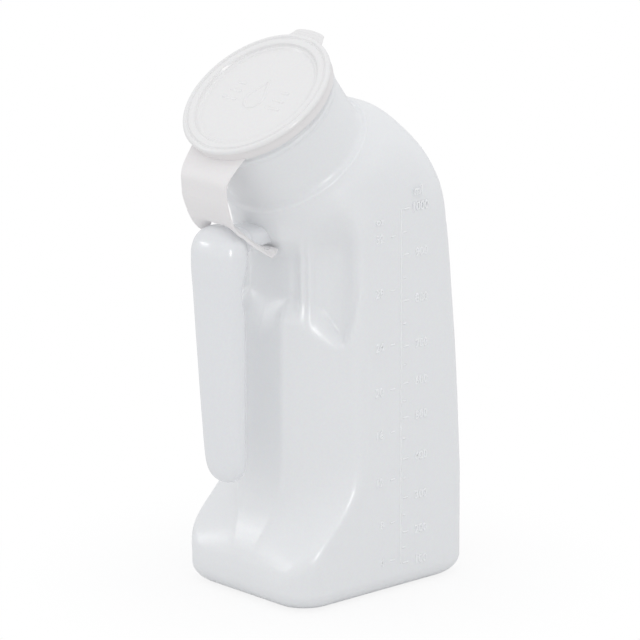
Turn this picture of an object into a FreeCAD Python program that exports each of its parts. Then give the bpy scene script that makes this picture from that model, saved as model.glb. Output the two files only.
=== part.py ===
import FreeCAD, Part
import math
import os

# Blow-moulded bottle with a hook handle, a raised volume scale, a leaning neck and a
# tethered cap. Millimetres, Z up. -Y is the front, where the handle hangs and where the
# neck leans to; +X carries the scale. The origin is the middle of the standing face.

V = FreeCAD.Vector

# ---------------------------------------------------------------------------
# Driving dimensions
# ---------------------------------------------------------------------------
HALF_WIDTH = 40.0            # bottle half width across X
CORNER_R = 15.5              # upright corners at the back
FOOT_FILLET = 8.0            # between the wall and the standing face
WALL = 1.2                   # bottle wall
SHOULDER_Z = 158.0           # where the level sections end and the shoulder starts

LEAN_DEG = 36.3              # neck lean towards the front
LID_Y, LID_Z = -41.12, 223.3  # centre of the cap rim
COLLAR_H = 38.0              # collar ridge below the cap top, along the neck
COLLAR_R = 35.0
NECK_R = 32.0                # neck outer radius
NECK_TOP_H = 1.8             # neck mouth below the cap top
BEAD_R = 32.9                # stop ring under the cap

LEAN = math.radians(LEAN_DEG)
AXIS_Y, AXIS_Z = -math.sin(LEAN), math.cos(LEAN)    # up the neck axis
CROSS_Y, CROSS_Z = math.cos(LEAN), math.sin(LEAN)   # across the neck, towards the back


# ---------------------------------------------------------------------------
# Interpolation
# ---------------------------------------------------------------------------
def lerp(a, b, t):
    return a + (b - a) * t


def smooth_step(t):
    t = max(0.0, min(1.0, t))
    return t * t * (3 - 2 * t)


def inner_slope(rows, i, col):
    """Monotone slope at a station that has neighbours on both sides."""
    before = rows[i][0] - rows[i - 1][0]
    after = rows[i + 1][0] - rows[i][0]
    rise_before = (rows[i][col] - rows[i - 1][col]) / before
    rise_after = (rows[i + 1][col] - rows[i][col]) / after
    if rise_before * rise_after <= 0:
        return 0.0
    w1, w2 = 2 * after + before, after + 2 * before
    return (w1 + w2) / (w1 / rise_before + w2 / rise_after)


def end_slope(chord, neighbour):
    """Slope at the first or last station, never against the chord."""
    slope = 1.5 * chord - 0.5 * neighbour
    return 0.0 if slope * chord < 0 else slope


def table(rows, s):
    """Smooth monotone interpolation of rows (s, v1, v2...), held constant beyond the ends."""
    if s <= rows[0][0]:
        return list(rows[0][1:])
    if s >= rows[-1][0]:
        return list(rows[-1][1:])
    k = 0
    while rows[k + 1][0] < s:
        k += 1
    span = rows[k + 1][0] - rows[k][0]
    t = (s - rows[k][0]) / span
    values = []
    for col in range(1, len(rows[0])):
        v0, v1 = rows[k][col], rows[k + 1][col]
        chord = (v1 - v0) / span
        if k == 0:
            m1 = inner_slope(rows, 1, col)
            m0 = end_slope(chord, m1)
        elif k == len(rows) - 2:
            m0 = inner_slope(rows, k, col)
            m1 = end_slope(chord, m0)
        else:
            m0 = inner_slope(rows, k, col)
            m1 = inner_slope(rows, k + 1, col)
        values.append((2 * t**3 - 3 * t**2 + 1) * v0 + (t**3 - 2 * t**2 + t) * span * m0
                      + (-2 * t**3 + 3 * t**2) * v1 + (t**3 - t**2) * span * m1)
    return values


# ---------------------------------------------------------------------------
# Surfaces and solids
# ---------------------------------------------------------------------------
def surface(rows):
    """Smooth surface through every point of the rows, closed round each row."""
    n = len(rows[0])
    params = [0.0]
    for below, row in zip(rows, rows[1:]):
        mean_gap = sum(math.dist(row[j], below[j]) for j in range(n)) / n
        params.append(params[-1] + math.sqrt(mean_gap))
    columns = []
    for j in range(n):
        column = Part.BSplineCurve()
        column.interpolate(Points=[V(*row[j]) for row in rows], Parameters=params)
        columns.append(column)
    column_poles = [column.getPoles() for column in columns]
    net = []
    for i in range(len(column_poles[0])):
        loop = Part.BSplineCurve()
        loop.interpolate(Points=[poles[i] for poles in column_poles], PeriodicFlag=True,
                         Parameters=[float(q) for q in range(n + 1)])
        net.append(loop.getPoles())
    result = Part.BSplineSurface()
    result.buildFromPolesMultsKnots(net, columns[0].getMultiplicities(), loop.getMultiplicities(),
                                    columns[0].getKnots(), loop.getKnots(), False, True, 3, 3)
    return result.toShape()


def end_edge(face, row):
    """The closed boundary edge of the face that runs through an end row."""
    probes = [Part.Vertex(V(*row[len(row) // part])) for part in (3, 7)]
    return min(face.Edges, key=lambda e: sum(e.distToShape(p)[0] for p in probes))


def end_face(face, row):
    """Flat face that closes the surface at an end row."""
    return Part.Face(Part.Wire([end_edge(face, row)]))


def closed(faces):
    """Solid bounded by the faces."""
    shell = Part.makeShell(faces)
    shell.sewShape()
    solid = Part.makeSolid(Part.Shell(shell.Faces))
    if solid.Volume < 0:
        solid.reverse()
    return solid


def polygon_face(points):
    return Part.Face(Part.makePolygon(points + [points[0]]))


def line(start, end):
    return Part.LineSegment(start, end).toShape()


def arc(start, middle, end):
    return Part.Arc(start, middle, end).toShape()


def largest(shape):
    return max(shape.Solids, key=lambda solid: solid.Volume)


def neck_point(x, across, depth):
    """Point beside the neck axis (across > 0 is to the back), depth below the cap top."""
    return (x, LID_Y + CROSS_Y * across - AXIS_Y * depth, LID_Z + CROSS_Z * across - AXIS_Z * depth)


def neck_frame(shape):
    """Put a shape made about +Z (z = 0 at the cap top, +Y to the back) on the neck."""
    lean = FreeCAD.Placement(V(0, LID_Y, LID_Z), FreeCAD.Rotation(V(1, 0, 0), LEAN_DEG))
    placed = shape.copy()
    placed.Placement = lean.multiply(placed.Placement)
    return placed


def write(name, shape):
    shape.exportStep("parts/%s.step" % name)


# ---------------------------------------------------------------------------
# Bottle sections
# ---------------------------------------------------------------------------
COLUMNS = 120                # points round each bottle row
# directions round a row, from the front (-Y) towards +X
PHIS = [-math.pi + 2 * math.pi * i / COLUMNS for i in range(COLUMNS)]

# level sections: height, back y, y where the slanting panel meets the side wall, front y,
# half width of the front wall, radius of the slanting edge, radius of the front edge
LEVELS = [
    (0.0, 51.0, -51.0, -51.0, 4.0, 14.5, 10.0),
    (10.0, 51.0, -51.0, -51.0, 4.0, 14.5, 10.0),
    (16.0, 51.0, -50.0, -50.5, 4.6, 12.5, 9.0),
    (20.0, 51.0, -48.0, -49.5, 5.4, 10.0, 7.5),
    (24.0, 51.0, -45.0, -48.0, 6.4, 7.5, 6.0),
    (28.0, 51.0, -41.0, -46.2, 7.6, 6.0, 5.0),
    (32.0, 51.0, -36.6, -44.3, 8.9, 5.2, 4.2),
    (38.0, 51.0, -29.8, -42.0, 10.7, 5.0, 3.6),
    (45.0, 51.0, -23.2, -40.4, 12.5, 5.2, 3.2),
    (52.0, 50.7, -18.8, -39.7, 13.7, 6.4, 3.4),
    (60.0, 50.3, -16.9, -39.5, 14.3, 8.4, 3.8),
    (68.0, 49.9, -16.5, -39.5, 14.5, 9.6, 4.0),
    (81.0, 49.2, -16.5, -39.5, 14.5, 10.0, 4.0),
    (102.0, 47.8, -16.5, -39.5, 14.5, 10.0, 4.0),
    (116.0, 46.6, -16.5, -39.5, 14.5, 9.0, 4.0),
    (130.0, 45.3, -16.5, -39.6, 14.5, 8.0, 4.5),
    (146.0, 43.8, -16.5, -39.9, 14.5, 8.0, 5.0),
    (SHOULDER_Z, 42.4, -16.5, -40.5, 14.5, 9.0, 6.0),
]
FOOT_HALF_DEPTH = LEVELS[0][1]

# shoulder sections: swing angle, then distances of the back and the front from the
# swing line, and the half width
SWING = [
    (0.0, 107.8, 25.3, HALF_WIDTH),
    (5.4, 107.4, 25.0, 40.0),
    (12.0, 107.6, 24.6, 39.9),
    (17.8, 107.4, 24.3, 39.6),
    (23.1, 106.0, 24.0, 39.0),
    (29.1, 102.4, 23.8, 37.8),
    (34.0, 96.6, 23.6, 35.8),
    (LEAN_DEG, 93.6, 23.6, COLLAR_R),
]
ROUNDING_START_DEG = 3.0     # the sections turn from polygon to ellipse after this angle

# grip recess: direction from the front in degrees, depth, then the heights where it
# starts, is full, starts to fade and ends
RECESS = [
    (0.0, 6.5, 124.0, 134.5, 150.0, 163.0),
    (18.0, 6.9, 124.0, 134.5, 150.0, 163.0),
    (24.0, 6.4, 124.0, 134.5, 150.0, 163.0),
    (28.0, 4.8, 123.5, 134.5, 150.0, 164.0),
    (31.0, 2.5, 122.0, 134.5, 150.0, 165.0),
    (33.4, 3.0, 120.5, 134.5, 150.0, 166.0),
    (36.0, 2.4, 119.0, 134.0, 150.0, 168.0),
    (40.0, 4.2, 117.0, 133.0, 150.0, 170.0),
    (46.0, 5.5, 114.5, 130.0, 151.0, 174.0),
    (54.0, 6.0, 113.0, 122.5, 152.0, 177.0),
    (58.5, 5.7, 113.5, 119.5, 152.0, 178.0),
    (61.5, 4.4, 117.5, 124.0, 152.0, 178.0),
    (64.5, 2.0, 125.0, 134.0, 152.0, 177.0),
    (67.5, 0.3, 134.0, 144.0, 152.0, 174.0),
    (70.0, 0.0, 138.0, 147.0, 152.0, 172.0),
    (180.0, 0.0, 138.0, 148.0, 152.0, 170.0),
]

# rows of the body: angles round the foot fillet, then heights above it
FOOT_ANGLES = [0, 12, 28, 46, 66, 90]
BODY_Z = [
    11.0, 14.5, 17.5, 20.5, 23.5, 26.5, 30.0, 34.0, 38.0, 42.0, 46.0, 50.0, 54.5, 59.5, 66.0,
    74.0, 84.0, 94.0, 104.0, 110.0, 113.5, 116.5, 119.5, 122.5, 125.5, 128.5, 131.5, 134.5,
    137.5, 141.0, 145.0, 149.0, 152.0, 155.0, SHOULDER_Z,
]
SWING_ROWS = 15

# outside of the neck: depth below the cap top, radius
NECK_OUT = [
    (COLLAR_H - 0.5, COLLAR_R - 0.15), (COLLAR_H - 0.9, COLLAR_R - 0.7),
    (COLLAR_H - 1.1, COLLAR_R - 1.6), (COLLAR_H - 1.6, NECK_R + 0.75),
    (COLLAR_H - 3.0, NECK_R + 0.15), (COLLAR_H - 6.0, NECK_R),
    (28.0, NECK_R), (22.0, NECK_R), (16.0, NECK_R), (12.5, NECK_R), (11.4, NECK_R + 0.35),
    (10.6, BEAD_R), (9.6, BEAD_R), (8.8, NECK_R + 0.35), (7.8, NECK_R), (5.0, NECK_R),
    (NECK_TOP_H, NECK_R),
]
# inside of the collar and neck: depth below the cap top, radius
NECK_IN_R = NECK_R - WALL
NECK_IN = [
    (39.0, 33.85), (38.4, 33.2), (38.0, 32.3), (37.4, 31.5), (36.0, 30.95), (34.0, NECK_IN_R),
    (28.0, NECK_IN_R), (20.0, NECK_IN_R), (12.0, NECK_IN_R), (6.0, NECK_IN_R),
    (NECK_TOP_H, NECK_IN_R),
]
# the inside leaves the shoulder this many rows early and goes over to NECK_IN
SHOULDER_ROWS_LEFT_OUT = 2

# the shoulder sections swing about a line along X, where the collar plane meets SHOULDER_Z
_, COLLAR_Y, COLLAR_Z = neck_point(0.0, 0.0, COLLAR_H)
PIVOT_Y = COLLAR_Y + (SHOULDER_Z - COLLAR_Z) / math.tan(LEAN)


def unit(dx, dy):
    length = math.hypot(dx, dy)
    return dx / length, dy / length, length


def rounded(corners, radii, steps=10):
    """Closed polyline of a convex polygon with rounded corners."""
    points = []
    for i, (x, y) in enumerate(corners):
        before, after = corners[i - 1], corners[(i + 1) % len(corners)]
        ax, ay, length_a = unit(before[0] - x, before[1] - y)
        bx, by, length_b = unit(after[0] - x, after[1] - y)
        angle = math.acos(max(-1.0, min(1.0, ax * bx + ay * by)))
        if angle > math.pi - 0.02:
            # nearly straight, nothing to round
            points.append((x, y))
            continue
        # the arc takes no more than 0.48 of either side
        setback = min(radii[i] / math.tan(angle / 2), 0.48 * length_a, 0.48 * length_b)
        radius = setback * math.tan(angle / 2)
        mid_x, mid_y, _ = unit(ax + bx, ay + by)
        cx = x + mid_x * radius / math.sin(angle / 2)
        cy = y + mid_y * radius / math.sin(angle / 2)
        start = math.atan2(y + ay * setback - cy, x + ax * setback - cx)
        end = math.atan2(y + by * setback - cy, x + bx * setback - cx)
        sweep = (end - start + math.pi) % (2 * math.pi) - math.pi
        for k in range(steps + 1):
            q = start + sweep * k / steps
            points.append((cx + radius * math.cos(q), cy + radius * math.sin(q)))
    return points


def polar(points, centre):
    """Radii of the closed polyline seen from (0, centre) in the directions PHIS."""
    local = [(x, y - centre) for x, y in points]
    angles = [math.atan2(x, -y) for x, y in local]
    radii = []
    for phi in PHIS:
        dx, dy = math.sin(phi), -math.cos(phi)
        offsets = [(a - phi + math.pi) % (2 * math.pi) - math.pi for a in angles]
        radius = 0.0
        for i, (x0, y0) in enumerate(local):
            j = (i + 1) % len(local)
            a0, a1 = offsets[i], offsets[j]
            if (a0 <= 0 <= a1 or a1 <= 0 <= a0) and abs(a1 - a0) < math.pi:
                ex, ey = local[j][0] - x0, local[j][1] - y0
                radius = max(radius, (x0 * ey - y0 * ex) / (dx * ey - dy * ex))
        radii.append(radius)
    return radii


def section_radii(half_width, back, side, front, front_half, side_r, front_r, centre):
    """Radii of the six-sided section with rounded corners."""
    corners = [(front_half, front), (half_width, side), (half_width, back),
               (-half_width, back), (-half_width, side), (-front_half, front)]
    radii = [front_r, side_r, CORNER_R, CORNER_R, side_r, front_r]
    return polar(rounded(corners, radii), centre)


def press_recess(x, y, z):
    """Move a wall point towards the Z axis by the depth of the grip recess."""
    phi = abs(math.degrees(math.atan2(x, -y)))
    depth, start, full, fade, end = table(RECESS, phi)
    depth *= smooth_step((z - start) / (full - start))
    depth *= 1.0 - smooth_step((z - fade) / (end - fade))
    if depth > 0:
        k = 1.0 - depth / math.hypot(x, y)
        x, y = x * k, y * k
    return x, y, z


def level_row(z):
    """Row of wall points at height z."""
    inset = 0.0
    if z < FOOT_FILLET:
        inset = FOOT_FILLET - math.sqrt(FOOT_FILLET**2 - (FOOT_FILLET - z)**2)
    scale_x = (HALF_WIDTH - inset) / HALF_WIDTH
    scale_y = (FOOT_HALF_DEPTH - inset) / FOOT_HALF_DEPTH
    radii = section_radii(HALF_WIDTH, *table(LEVELS, z), centre=0.0)
    return [press_recess(r * math.sin(phi) * scale_x, -r * math.cos(phi) * scale_y, z)
            for phi, r in zip(PHIS, radii)]


def swing_row(degrees):
    """Row of shoulder points in the plane swung up by an angle, going over to an ellipse."""
    back, front, half_width = table(SWING, degrees)
    _, side_y, front_y, front_half, side_r, front_r = LEVELS[-1][1:]
    angle = math.radians(degrees)
    centre = lerp(-PIVOT_Y, (COLLAR_Y - PIVOT_Y) / CROSS_Y, degrees / LEAN_DEG)
    side = centre + side_y * (centre - front) / (-front_y)
    radii = section_radii(half_width, back, side, front, front_half, side_r, front_r, centre)
    half_depth = 0.5 * (back - front)
    offset = centre - 0.5 * (back + front)
    roundness = smooth_step((degrees - ROUNDING_START_DEG) / (LEAN_DEG - ROUNDING_START_DEG))
    row = []
    for phi, radius in zip(PHIS, radii):
        dx, dv = math.sin(phi), -math.cos(phi)
        # distance to the ellipse, from a * r^2 + 2 * b * r + c = 0
        a = dx**2 / half_width**2 + dv**2 / half_depth**2
        b = offset * dv / half_depth**2
        c = offset**2 / half_depth**2 - 1.0
        ellipse = (-b + math.sqrt(b * b - a * c)) / a
        radius = lerp(radius, ellipse, roundness)
        reach = centre + radius * dv
        row.append(press_recess(radius * dx, PIVOT_Y + reach * math.cos(angle),
                                SHOULDER_Z + reach * math.sin(angle)))
    return row


def neck_row(depth, radius):
    """Circle round the neck axis."""
    return [neck_point(radius * math.sin(phi), -radius * math.cos(phi), depth) for phi in PHIS]


def offset_rows(rows, distance):
    """Rows moved inwards along the surface normal."""
    n = len(rows[0])
    moved = []
    for i, row in enumerate(rows):
        below, above = rows[max(0, i - 1)], rows[min(len(rows) - 1, i + 1)]
        line_points = []
        for j, point in enumerate(row):
            up = V(*above[j]) - V(*below[j])
            along = V(*row[(j + 1) % n]) - V(*row[j - 1])
            normal = up.cross(along)
            k = distance / normal.Length
            line_points.append((point[0] + k * normal.x, point[1] + k * normal.y,
                                point[2] + k * normal.z))
        moved.append(line_points)
    return moved


def make_bottle():
    """The hollow bottle, and the solid enclosed by its outside."""
    foot_z = [FOOT_FILLET * (1 - math.cos(math.radians(a))) for a in FOOT_ANGLES]
    wall_rows = [level_row(z) for z in foot_z + BODY_Z]
    wall_rows += [swing_row(LEAN_DEG * i / SWING_ROWS) for i in range(1, SWING_ROWS + 1)]
    out_rows = wall_rows + [neck_row(depth, radius) for depth, radius in NECK_OUT]

    in_rows = offset_rows(wall_rows, WALL)[:-SHOULDER_ROWS_LEFT_OUT]
    in_rows[0] = [(x, y, WALL) for x, y, z in in_rows[0]]
    in_rows += [neck_row(depth, radius) for depth, radius in NECK_IN]

    outside, inside = surface(out_rows), surface(in_rows)
    foot = end_face(outside, out_rows[0])
    floor = end_face(inside, in_rows[0])
    mouth = Part.makeRuledSurface(end_edge(outside, out_rows[-1]), end_edge(inside, in_rows[-1]))
    bottle = closed([outside, inside, foot, floor, mouth])
    mouth_disc = end_face(outside, out_rows[-1])
    return bottle, closed([outside, foot, mouth_disc])


# ---------------------------------------------------------------------------
# Hook handle
# ---------------------------------------------------------------------------
# height, centre y, half width, half thickness
HANDLE = [
    (54.0, -58.2, 2.2, 1.4), (54.6, -58.2, 4.6, 2.8), (56.1, -58.2, 7.0, 4.2),
    (58.9, -58.4, 9.2, 5.2), (63.5, -58.7, 10.3, 5.7), (69.0, -59.1, 10.6, 5.9),
    (80.0, -59.6, 10.9, 6.4), (93.0, -60.1, 11.3, 7.0), (110.0, -60.8, 11.7, 7.6),
    (125.0, -61.4, 12.1, 8.1), (141.0, -61.7, 12.9, 8.7), (150.0, -61.8, 13.4, 9.2),
    (156.5, -61.7, 13.5, 9.2), (161.0, -61.4, 12.7, 8.5), (164.5, -61.0, 10.6, 6.9),
    (166.7, -60.7, 7.8, 5.0), (167.9, -60.5, 4.6, 3.0), (168.4, -60.4, 2.0, 1.4),
]
HANDLE_ROW_Z = [
    54.0, 54.6, 56.1, 58.9, 63.5, 69.0, 80.0, 93.0, 110.0, 120.0, 125.0, 130.0, 135.0, 140.0,
    145.0, 150.0, 154.0, 158.0, 161.0, 163.0, 164.5, 165.8, 166.7, 167.5, 167.9, 168.4,
]
HANDLE_COLUMNS = 28
HANDLE_WALL = 1.3
HANDLE_SQUARENESS = 2.6      # superellipse exponent of the sections
MIN_HALF_WIDTH, MIN_HALF_THICK = 0.6, 0.4    # least size of the hollow
SEAT_DEPTH, SEAT_Z, SEAT_SPREAD = 4.2, 140.5, 8.5   # rail seat, in the side facing the bottle
BRIDGE_Z0, BRIDGE_Z1 = 157.0, 166.0          # bridge between handle and front wall
BRIDGE_HALF_WIDTH = 8.6
BRIDGE_Y, BRIDGE_LENGTH = -62.0, 34.0        # front end, and length towards the back
BRIDGE_FILLET = 4.0


def handle_rows(inset):
    """Rows of the handle surface, moved inwards by inset."""
    bottom, top = HANDLE_ROW_Z[0], HANDLE_ROW_Z[-1]
    rows = []
    for z in HANDLE_ROW_Z:
        centre, half_width, half_thick = table(HANDLE, z)
        half_width = max(MIN_HALF_WIDTH, half_width - inset)
        half_thick = max(MIN_HALF_THICK, half_thick - inset)
        row_z = lerp(bottom + inset, top - inset, (z - bottom) / (top - bottom))
        seat = SEAT_DEPTH * math.exp(-((z - SEAT_Z) / SEAT_SPREAD) ** 2)
        row = []
        for j in range(HANDLE_COLUMNS):
            phi = 2 * math.pi * j / HANDLE_COLUMNS
            c, s = math.cos(phi), math.sin(phi)
            x = half_width * math.copysign(abs(s) ** (2 / HANDLE_SQUARENESS), s)
            y = -half_thick * math.copysign(abs(c) ** (2 / HANDLE_SQUARENESS), c)
            if y > 0:
                y -= seat * y / half_thick
            row.append((x, centre + y, row_z))
        rows.append(row)
    return rows


def tube(rows):
    side = surface(rows)
    return closed([side, end_face(side, rows[0]), end_face(side, rows[-1])])


def make_handle(bottle_outside):
    """Hollow handle and its bridge, ending on the bottle wall."""
    outside = tube(handle_rows(0))
    hollow = tube(handle_rows(HANDLE_WALL))
    bridge = Part.makeBox(2 * BRIDGE_HALF_WIDTH, BRIDGE_LENGTH, BRIDGE_Z1 - BRIDGE_Z0,
                          V(-BRIDGE_HALF_WIDTH, BRIDGE_Y, BRIDGE_Z0))
    long_edges = [e for e in bridge.Edges if abs(e.tangentAt(e.FirstParameter).y) > 0.9]
    bridge = bridge.makeFillet(BRIDGE_FILLET, long_edges)
    return largest(outside.fuse(bridge.cut(hollow)).cut(hollow).cut(bottle_outside))


# ---------------------------------------------------------------------------
# Volume scale, raised on the +X wall; the reader sees +Y to the right
# ---------------------------------------------------------------------------
MARK_HEIGHT = 0.5            # above the wall
MARK_SUNK = 0.3              # into the wall
MARK_X = HALF_WIDTH - MARK_SUNK
MARK_THICK = MARK_HEIGHT + MARK_SUNK
ML_Z = [12.3, 26.2, 41.8, 59.3, 77.8, 93.3, 109.9, 130.3, 150.7, 171.0]   # 100 to 1000 ml
OZ_IN_ML = 29.574
OZ_STEP = 4
OZ_MARKS = 8
TICK = 0.7                   # line thickness of ticks and upright
ML_TICK_Y, ML_TICK_LONG, ML_TICK_SHORT = 8.0, 11.4, 10.0    # start y and the two end y
OZ_TICK_Y, OZ_TICK_END = 0.8, 3.6
UPRIGHT_Y = 6.6
ML_DIGIT_Y, ML_DIGIT_H = 13.0, 4.0
OZ_DIGIT_Y, OZ_DIGIT_H = -8.0, 3.9
DIGIT_INDENT = 2.6           # for a number with one digit fewer
ML_HEAD_Z, OZ_HEAD_Z = 178.2, 168.0     # middle height of the unit letters
LETTER_H = 3.2

# strokes of each numeral: a top, b and c right, d bottom, e and f left, g middle
SEGMENTS = {"0": "abcdef", "1": "bc", "2": "abged", "3": "abgcd", "4": "fgbc", "5": "afgcd",
            "6": "afgedc", "7": "abc", "8": "abcdefg", "9": "abcdfg"}
# strokes of the unit letters: y0, z0, y1, z1 from the lower left corner
LETTER_M = [(0, 0, 0.6, LETTER_H), (1.7, 0, 2.3, LETTER_H), (3.4, 0, 4.0, LETTER_H),
            (0, 2.6, 4.0, LETTER_H)]
LETTER_L = [(0, 0, 0.7, 4.6)]
LETTER_O = [(0, 0, 0.6, LETTER_H), (2.0, 0, 2.6, LETTER_H), (0, 2.6, 2.6, LETTER_H),
            (0, 0, 2.6, 0.6)]
# outline of the z: y, z
LETTER_Z = [(0, 0), (2.6, 0), (2.6, 0.6), (0.9, 0.6), (2.6, 2.6), (2.6, LETTER_H),
            (0, LETTER_H), (0, 2.6), (1.7, 2.6), (0, 0.6)]
LETTER_M_Y, LETTER_L_Y, LETTER_Z_Y = 14.0, 19.0, -4.4


def mark_z(ml):
    """Height of the mark for a volume in millilitres."""
    heights = [WALL] + ML_Z
    k = min(int(ml // 100), len(ML_Z) - 1)
    return lerp(heights[k], heights[k + 1], ml / 100 - k)


def raised_box(y0, z0, y1, z1):
    return Part.makeBox(MARK_THICK, y1 - y0, z1 - z0, V(MARK_X, y0, z0))


def tick(y0, y1, z):
    return raised_box(y0, z - TICK / 2, y1, z + TICK / 2)


def strokes(bars, y, z):
    """One character made of bars, lower left corner at (y, z)."""
    boxes = [raised_box(y + y0, z + z0, y + y1, z + z1) for y0, z0, y1, z1 in bars]
    return boxes[0] if len(boxes) == 1 else boxes[0].multiFuse(boxes[1:])


def numerals(text, y, z, h):
    """Seven-stroke numerals of height h, starting at y and centred on height z."""
    w, t = h * 0.52, h * 0.15
    m = h / 2
    bars = {"a": (0, h - t, w, h), "g": (0, m - t / 2, w, m + t / 2), "d": (0, 0, w, t),
            "b": (w - t, m, w, h), "c": (w - t, 0, w, m), "f": (0, m, t, h), "e": (0, 0, t, m)}
    pitch = w + h * 0.18
    return [strokes([bars[key] for key in SEGMENTS[digit]], y + i * pitch, z - m)
            for i, digit in enumerate(text)]


def make_ml_numerals():
    shapes = []
    for k, z in enumerate(ML_Z, 1):
        text = str(100 * k)
        indent = 0.0 if len(text) == 4 else DIGIT_INDENT
        shapes += numerals(text, ML_DIGIT_Y + indent, z, ML_DIGIT_H)
    head = ML_HEAD_Z - LETTER_H / 2
    shapes.append(strokes(LETTER_M, LETTER_M_Y, head))
    shapes.append(strokes(LETTER_L, LETTER_L_Y, head))
    return Part.makeCompound(shapes)


def make_ml_ticks():
    """Long ticks every 100 ml, short ones halfway, and the upright line beside them."""
    shapes = []
    for k, z in enumerate(ML_Z, 1):
        shapes.append(tick(ML_TICK_Y, ML_TICK_LONG, z))
        if k < len(ML_Z):
            shapes.append(tick(ML_TICK_Y, ML_TICK_SHORT, mark_z(100 * k + 50)))
    shapes.append(raised_box(UPRIGHT_Y, ML_Z[0], UPRIGHT_Y + TICK, ML_Z[-1]))
    return Part.makeCompound(shapes)


def make_oz_numerals():
    """Ounce numerals with their ticks."""
    shapes = []
    for k in range(1, OZ_MARKS + 1):
        z = mark_z(OZ_IN_ML * OZ_STEP * k)
        text = str(OZ_STEP * k)
        indent = DIGIT_INDENT if len(text) == 1 else 0.0
        shapes += numerals(text, OZ_DIGIT_Y + indent, z, OZ_DIGIT_H)
        shapes.append(tick(OZ_TICK_Y, OZ_TICK_END, z))
    head = OZ_HEAD_Z - LETTER_H / 2
    shapes.append(strokes(LETTER_O, OZ_DIGIT_Y, head))
    outline = [V(MARK_X, LETTER_Z_Y + y, head + z) for y, z in LETTER_Z]
    shapes.append(polygon_face(outline).extrude(V(MARK_THICK, 0, 0)))
    return Part.makeCompound(shapes)


# ---------------------------------------------------------------------------
# Cap, made about +Z with its top at z = 0 and +Y to the back
# ---------------------------------------------------------------------------
CAP_R = 35.0
SKIRT_H = 6.4                # skirt below the cap top
SKIRT_OUT, SKIRT_IN = 34.6, 33.2
FLOOR_H = 2.1                # sunken middle below the cap top
UNDER_H = 3.1                # its underside
# radius, z
CAP_PROFILE = [
    (0, -FLOOR_H), (26.6, -FLOOR_H), (27.5, -FLOOR_H + 0.15), (28.3, -1.4), (28.8, -0.6),
    (29.5, -0.1), (30.4, 0.0), (32.1, 0.0), (32.35, -0.3), (32.75, -0.3), (33.0, 0.0),
    (34.1, -0.05), (34.7, -0.5), (CAP_R, -1.4), (34.75, -2.4), (SKIRT_OUT, -3.0),
    (SKIRT_OUT, -SKIRT_H), (SKIRT_IN, -SKIRT_H), (SKIRT_IN, -1.5), (29.7, -1.5), (29.0, -2.0),
    (27.6, -UNDER_H), (0, -UNDER_H),
]

EMBLEM_T, EMBLEM_SUNK = 0.5, 0.1
DROP_R, DROP_Y, DROP_TIP_Y = 5.4, -2.0, 9.0      # round end, its centre, and the tip
DROP_HOLE_SCALE, DROP_HOLE_Y = 0.72, -0.6        # opening, scaled about this y
EMBLEM_BARS = [(-4.5, 9.0), (0.0, 7.0), (4.5, 5.0)]   # middle y, length along x
EMBLEM_BAR_X, EMBLEM_BAR_W = 13.5, 1.0

TAB_ROOT_X, TAB_ROOT_Y = 10.8, 32.2
TAB_END_X, TAB_END_Y, TAB_TIP_Y = 8.2, 37.2, 39.2
TAB_Z, TAB_T = -2.6, 1.1     # underside and thickness
TAB_CLEAR_R = 34.7


def make_cap():
    profile = polygon_face([V(radius, 0, z) for radius, z in CAP_PROFILE])
    return profile.revolve(V(0, 0, 0), V(0, 0, 1), 360)


def make_emblem():
    """Raised drop outline, tip to the back, with three bars on each side."""
    angle = math.acos(DROP_R / (DROP_TIP_Y - DROP_Y))
    tip = V(0, DROP_TIP_Y, 0)
    # where the straight flanks touch the round end
    touch_x, touch_y = DROP_R * math.sin(angle), DROP_Y + DROP_R * math.cos(angle)
    touch, mirrored = V(touch_x, touch_y, 0), V(-touch_x, touch_y, 0)
    drop = Part.Face(Part.Wire([line(touch, tip), line(tip, mirrored),
                                arc(mirrored, V(0, DROP_Y - DROP_R, 0), touch)]))
    hole = drop.copy()
    hole.scale(DROP_HOLE_SCALE, V(0, DROP_HOLE_Y, 0))
    shapes = [drop.cut(hole).extrude(V(0, 0, EMBLEM_T))]
    for side in (-1, 1):
        for y, length in EMBLEM_BARS:
            corner = V(side * EMBLEM_BAR_X - length / 2, y - EMBLEM_BAR_W / 2, 0)
            shapes.append(Part.makeBox(length, EMBLEM_BAR_W, EMBLEM_T, corner))
    emblem = Part.makeCompound(shapes)
    emblem.translate(V(0, 0, -FLOOR_H - EMBLEM_SUNK))
    return emblem


def make_tab(cap):
    """Pull tab at the back of the cap."""
    root_a, root_b = V(-TAB_ROOT_X, TAB_ROOT_Y, 0), V(TAB_ROOT_X, TAB_ROOT_Y, 0)
    end_a, end_b = V(-TAB_END_X, TAB_END_Y, 0), V(TAB_END_X, TAB_END_Y, 0)
    outline = Part.Wire([line(root_a, root_b), line(root_b, end_b),
                         arc(end_b, V(0, TAB_TIP_Y, 0), end_a), line(end_a, root_a)])
    tab = Part.Face(outline).extrude(V(0, 0, TAB_T))
    tab.translate(V(0, 0, TAB_Z))
    return largest(tab.cut(cap).cut(Part.makeCylinder(TAB_CLEAR_R, 20, V(0, 0, -10))))


# ---------------------------------------------------------------------------
# Tether
# ---------------------------------------------------------------------------
STRAP_T = 1.3
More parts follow.
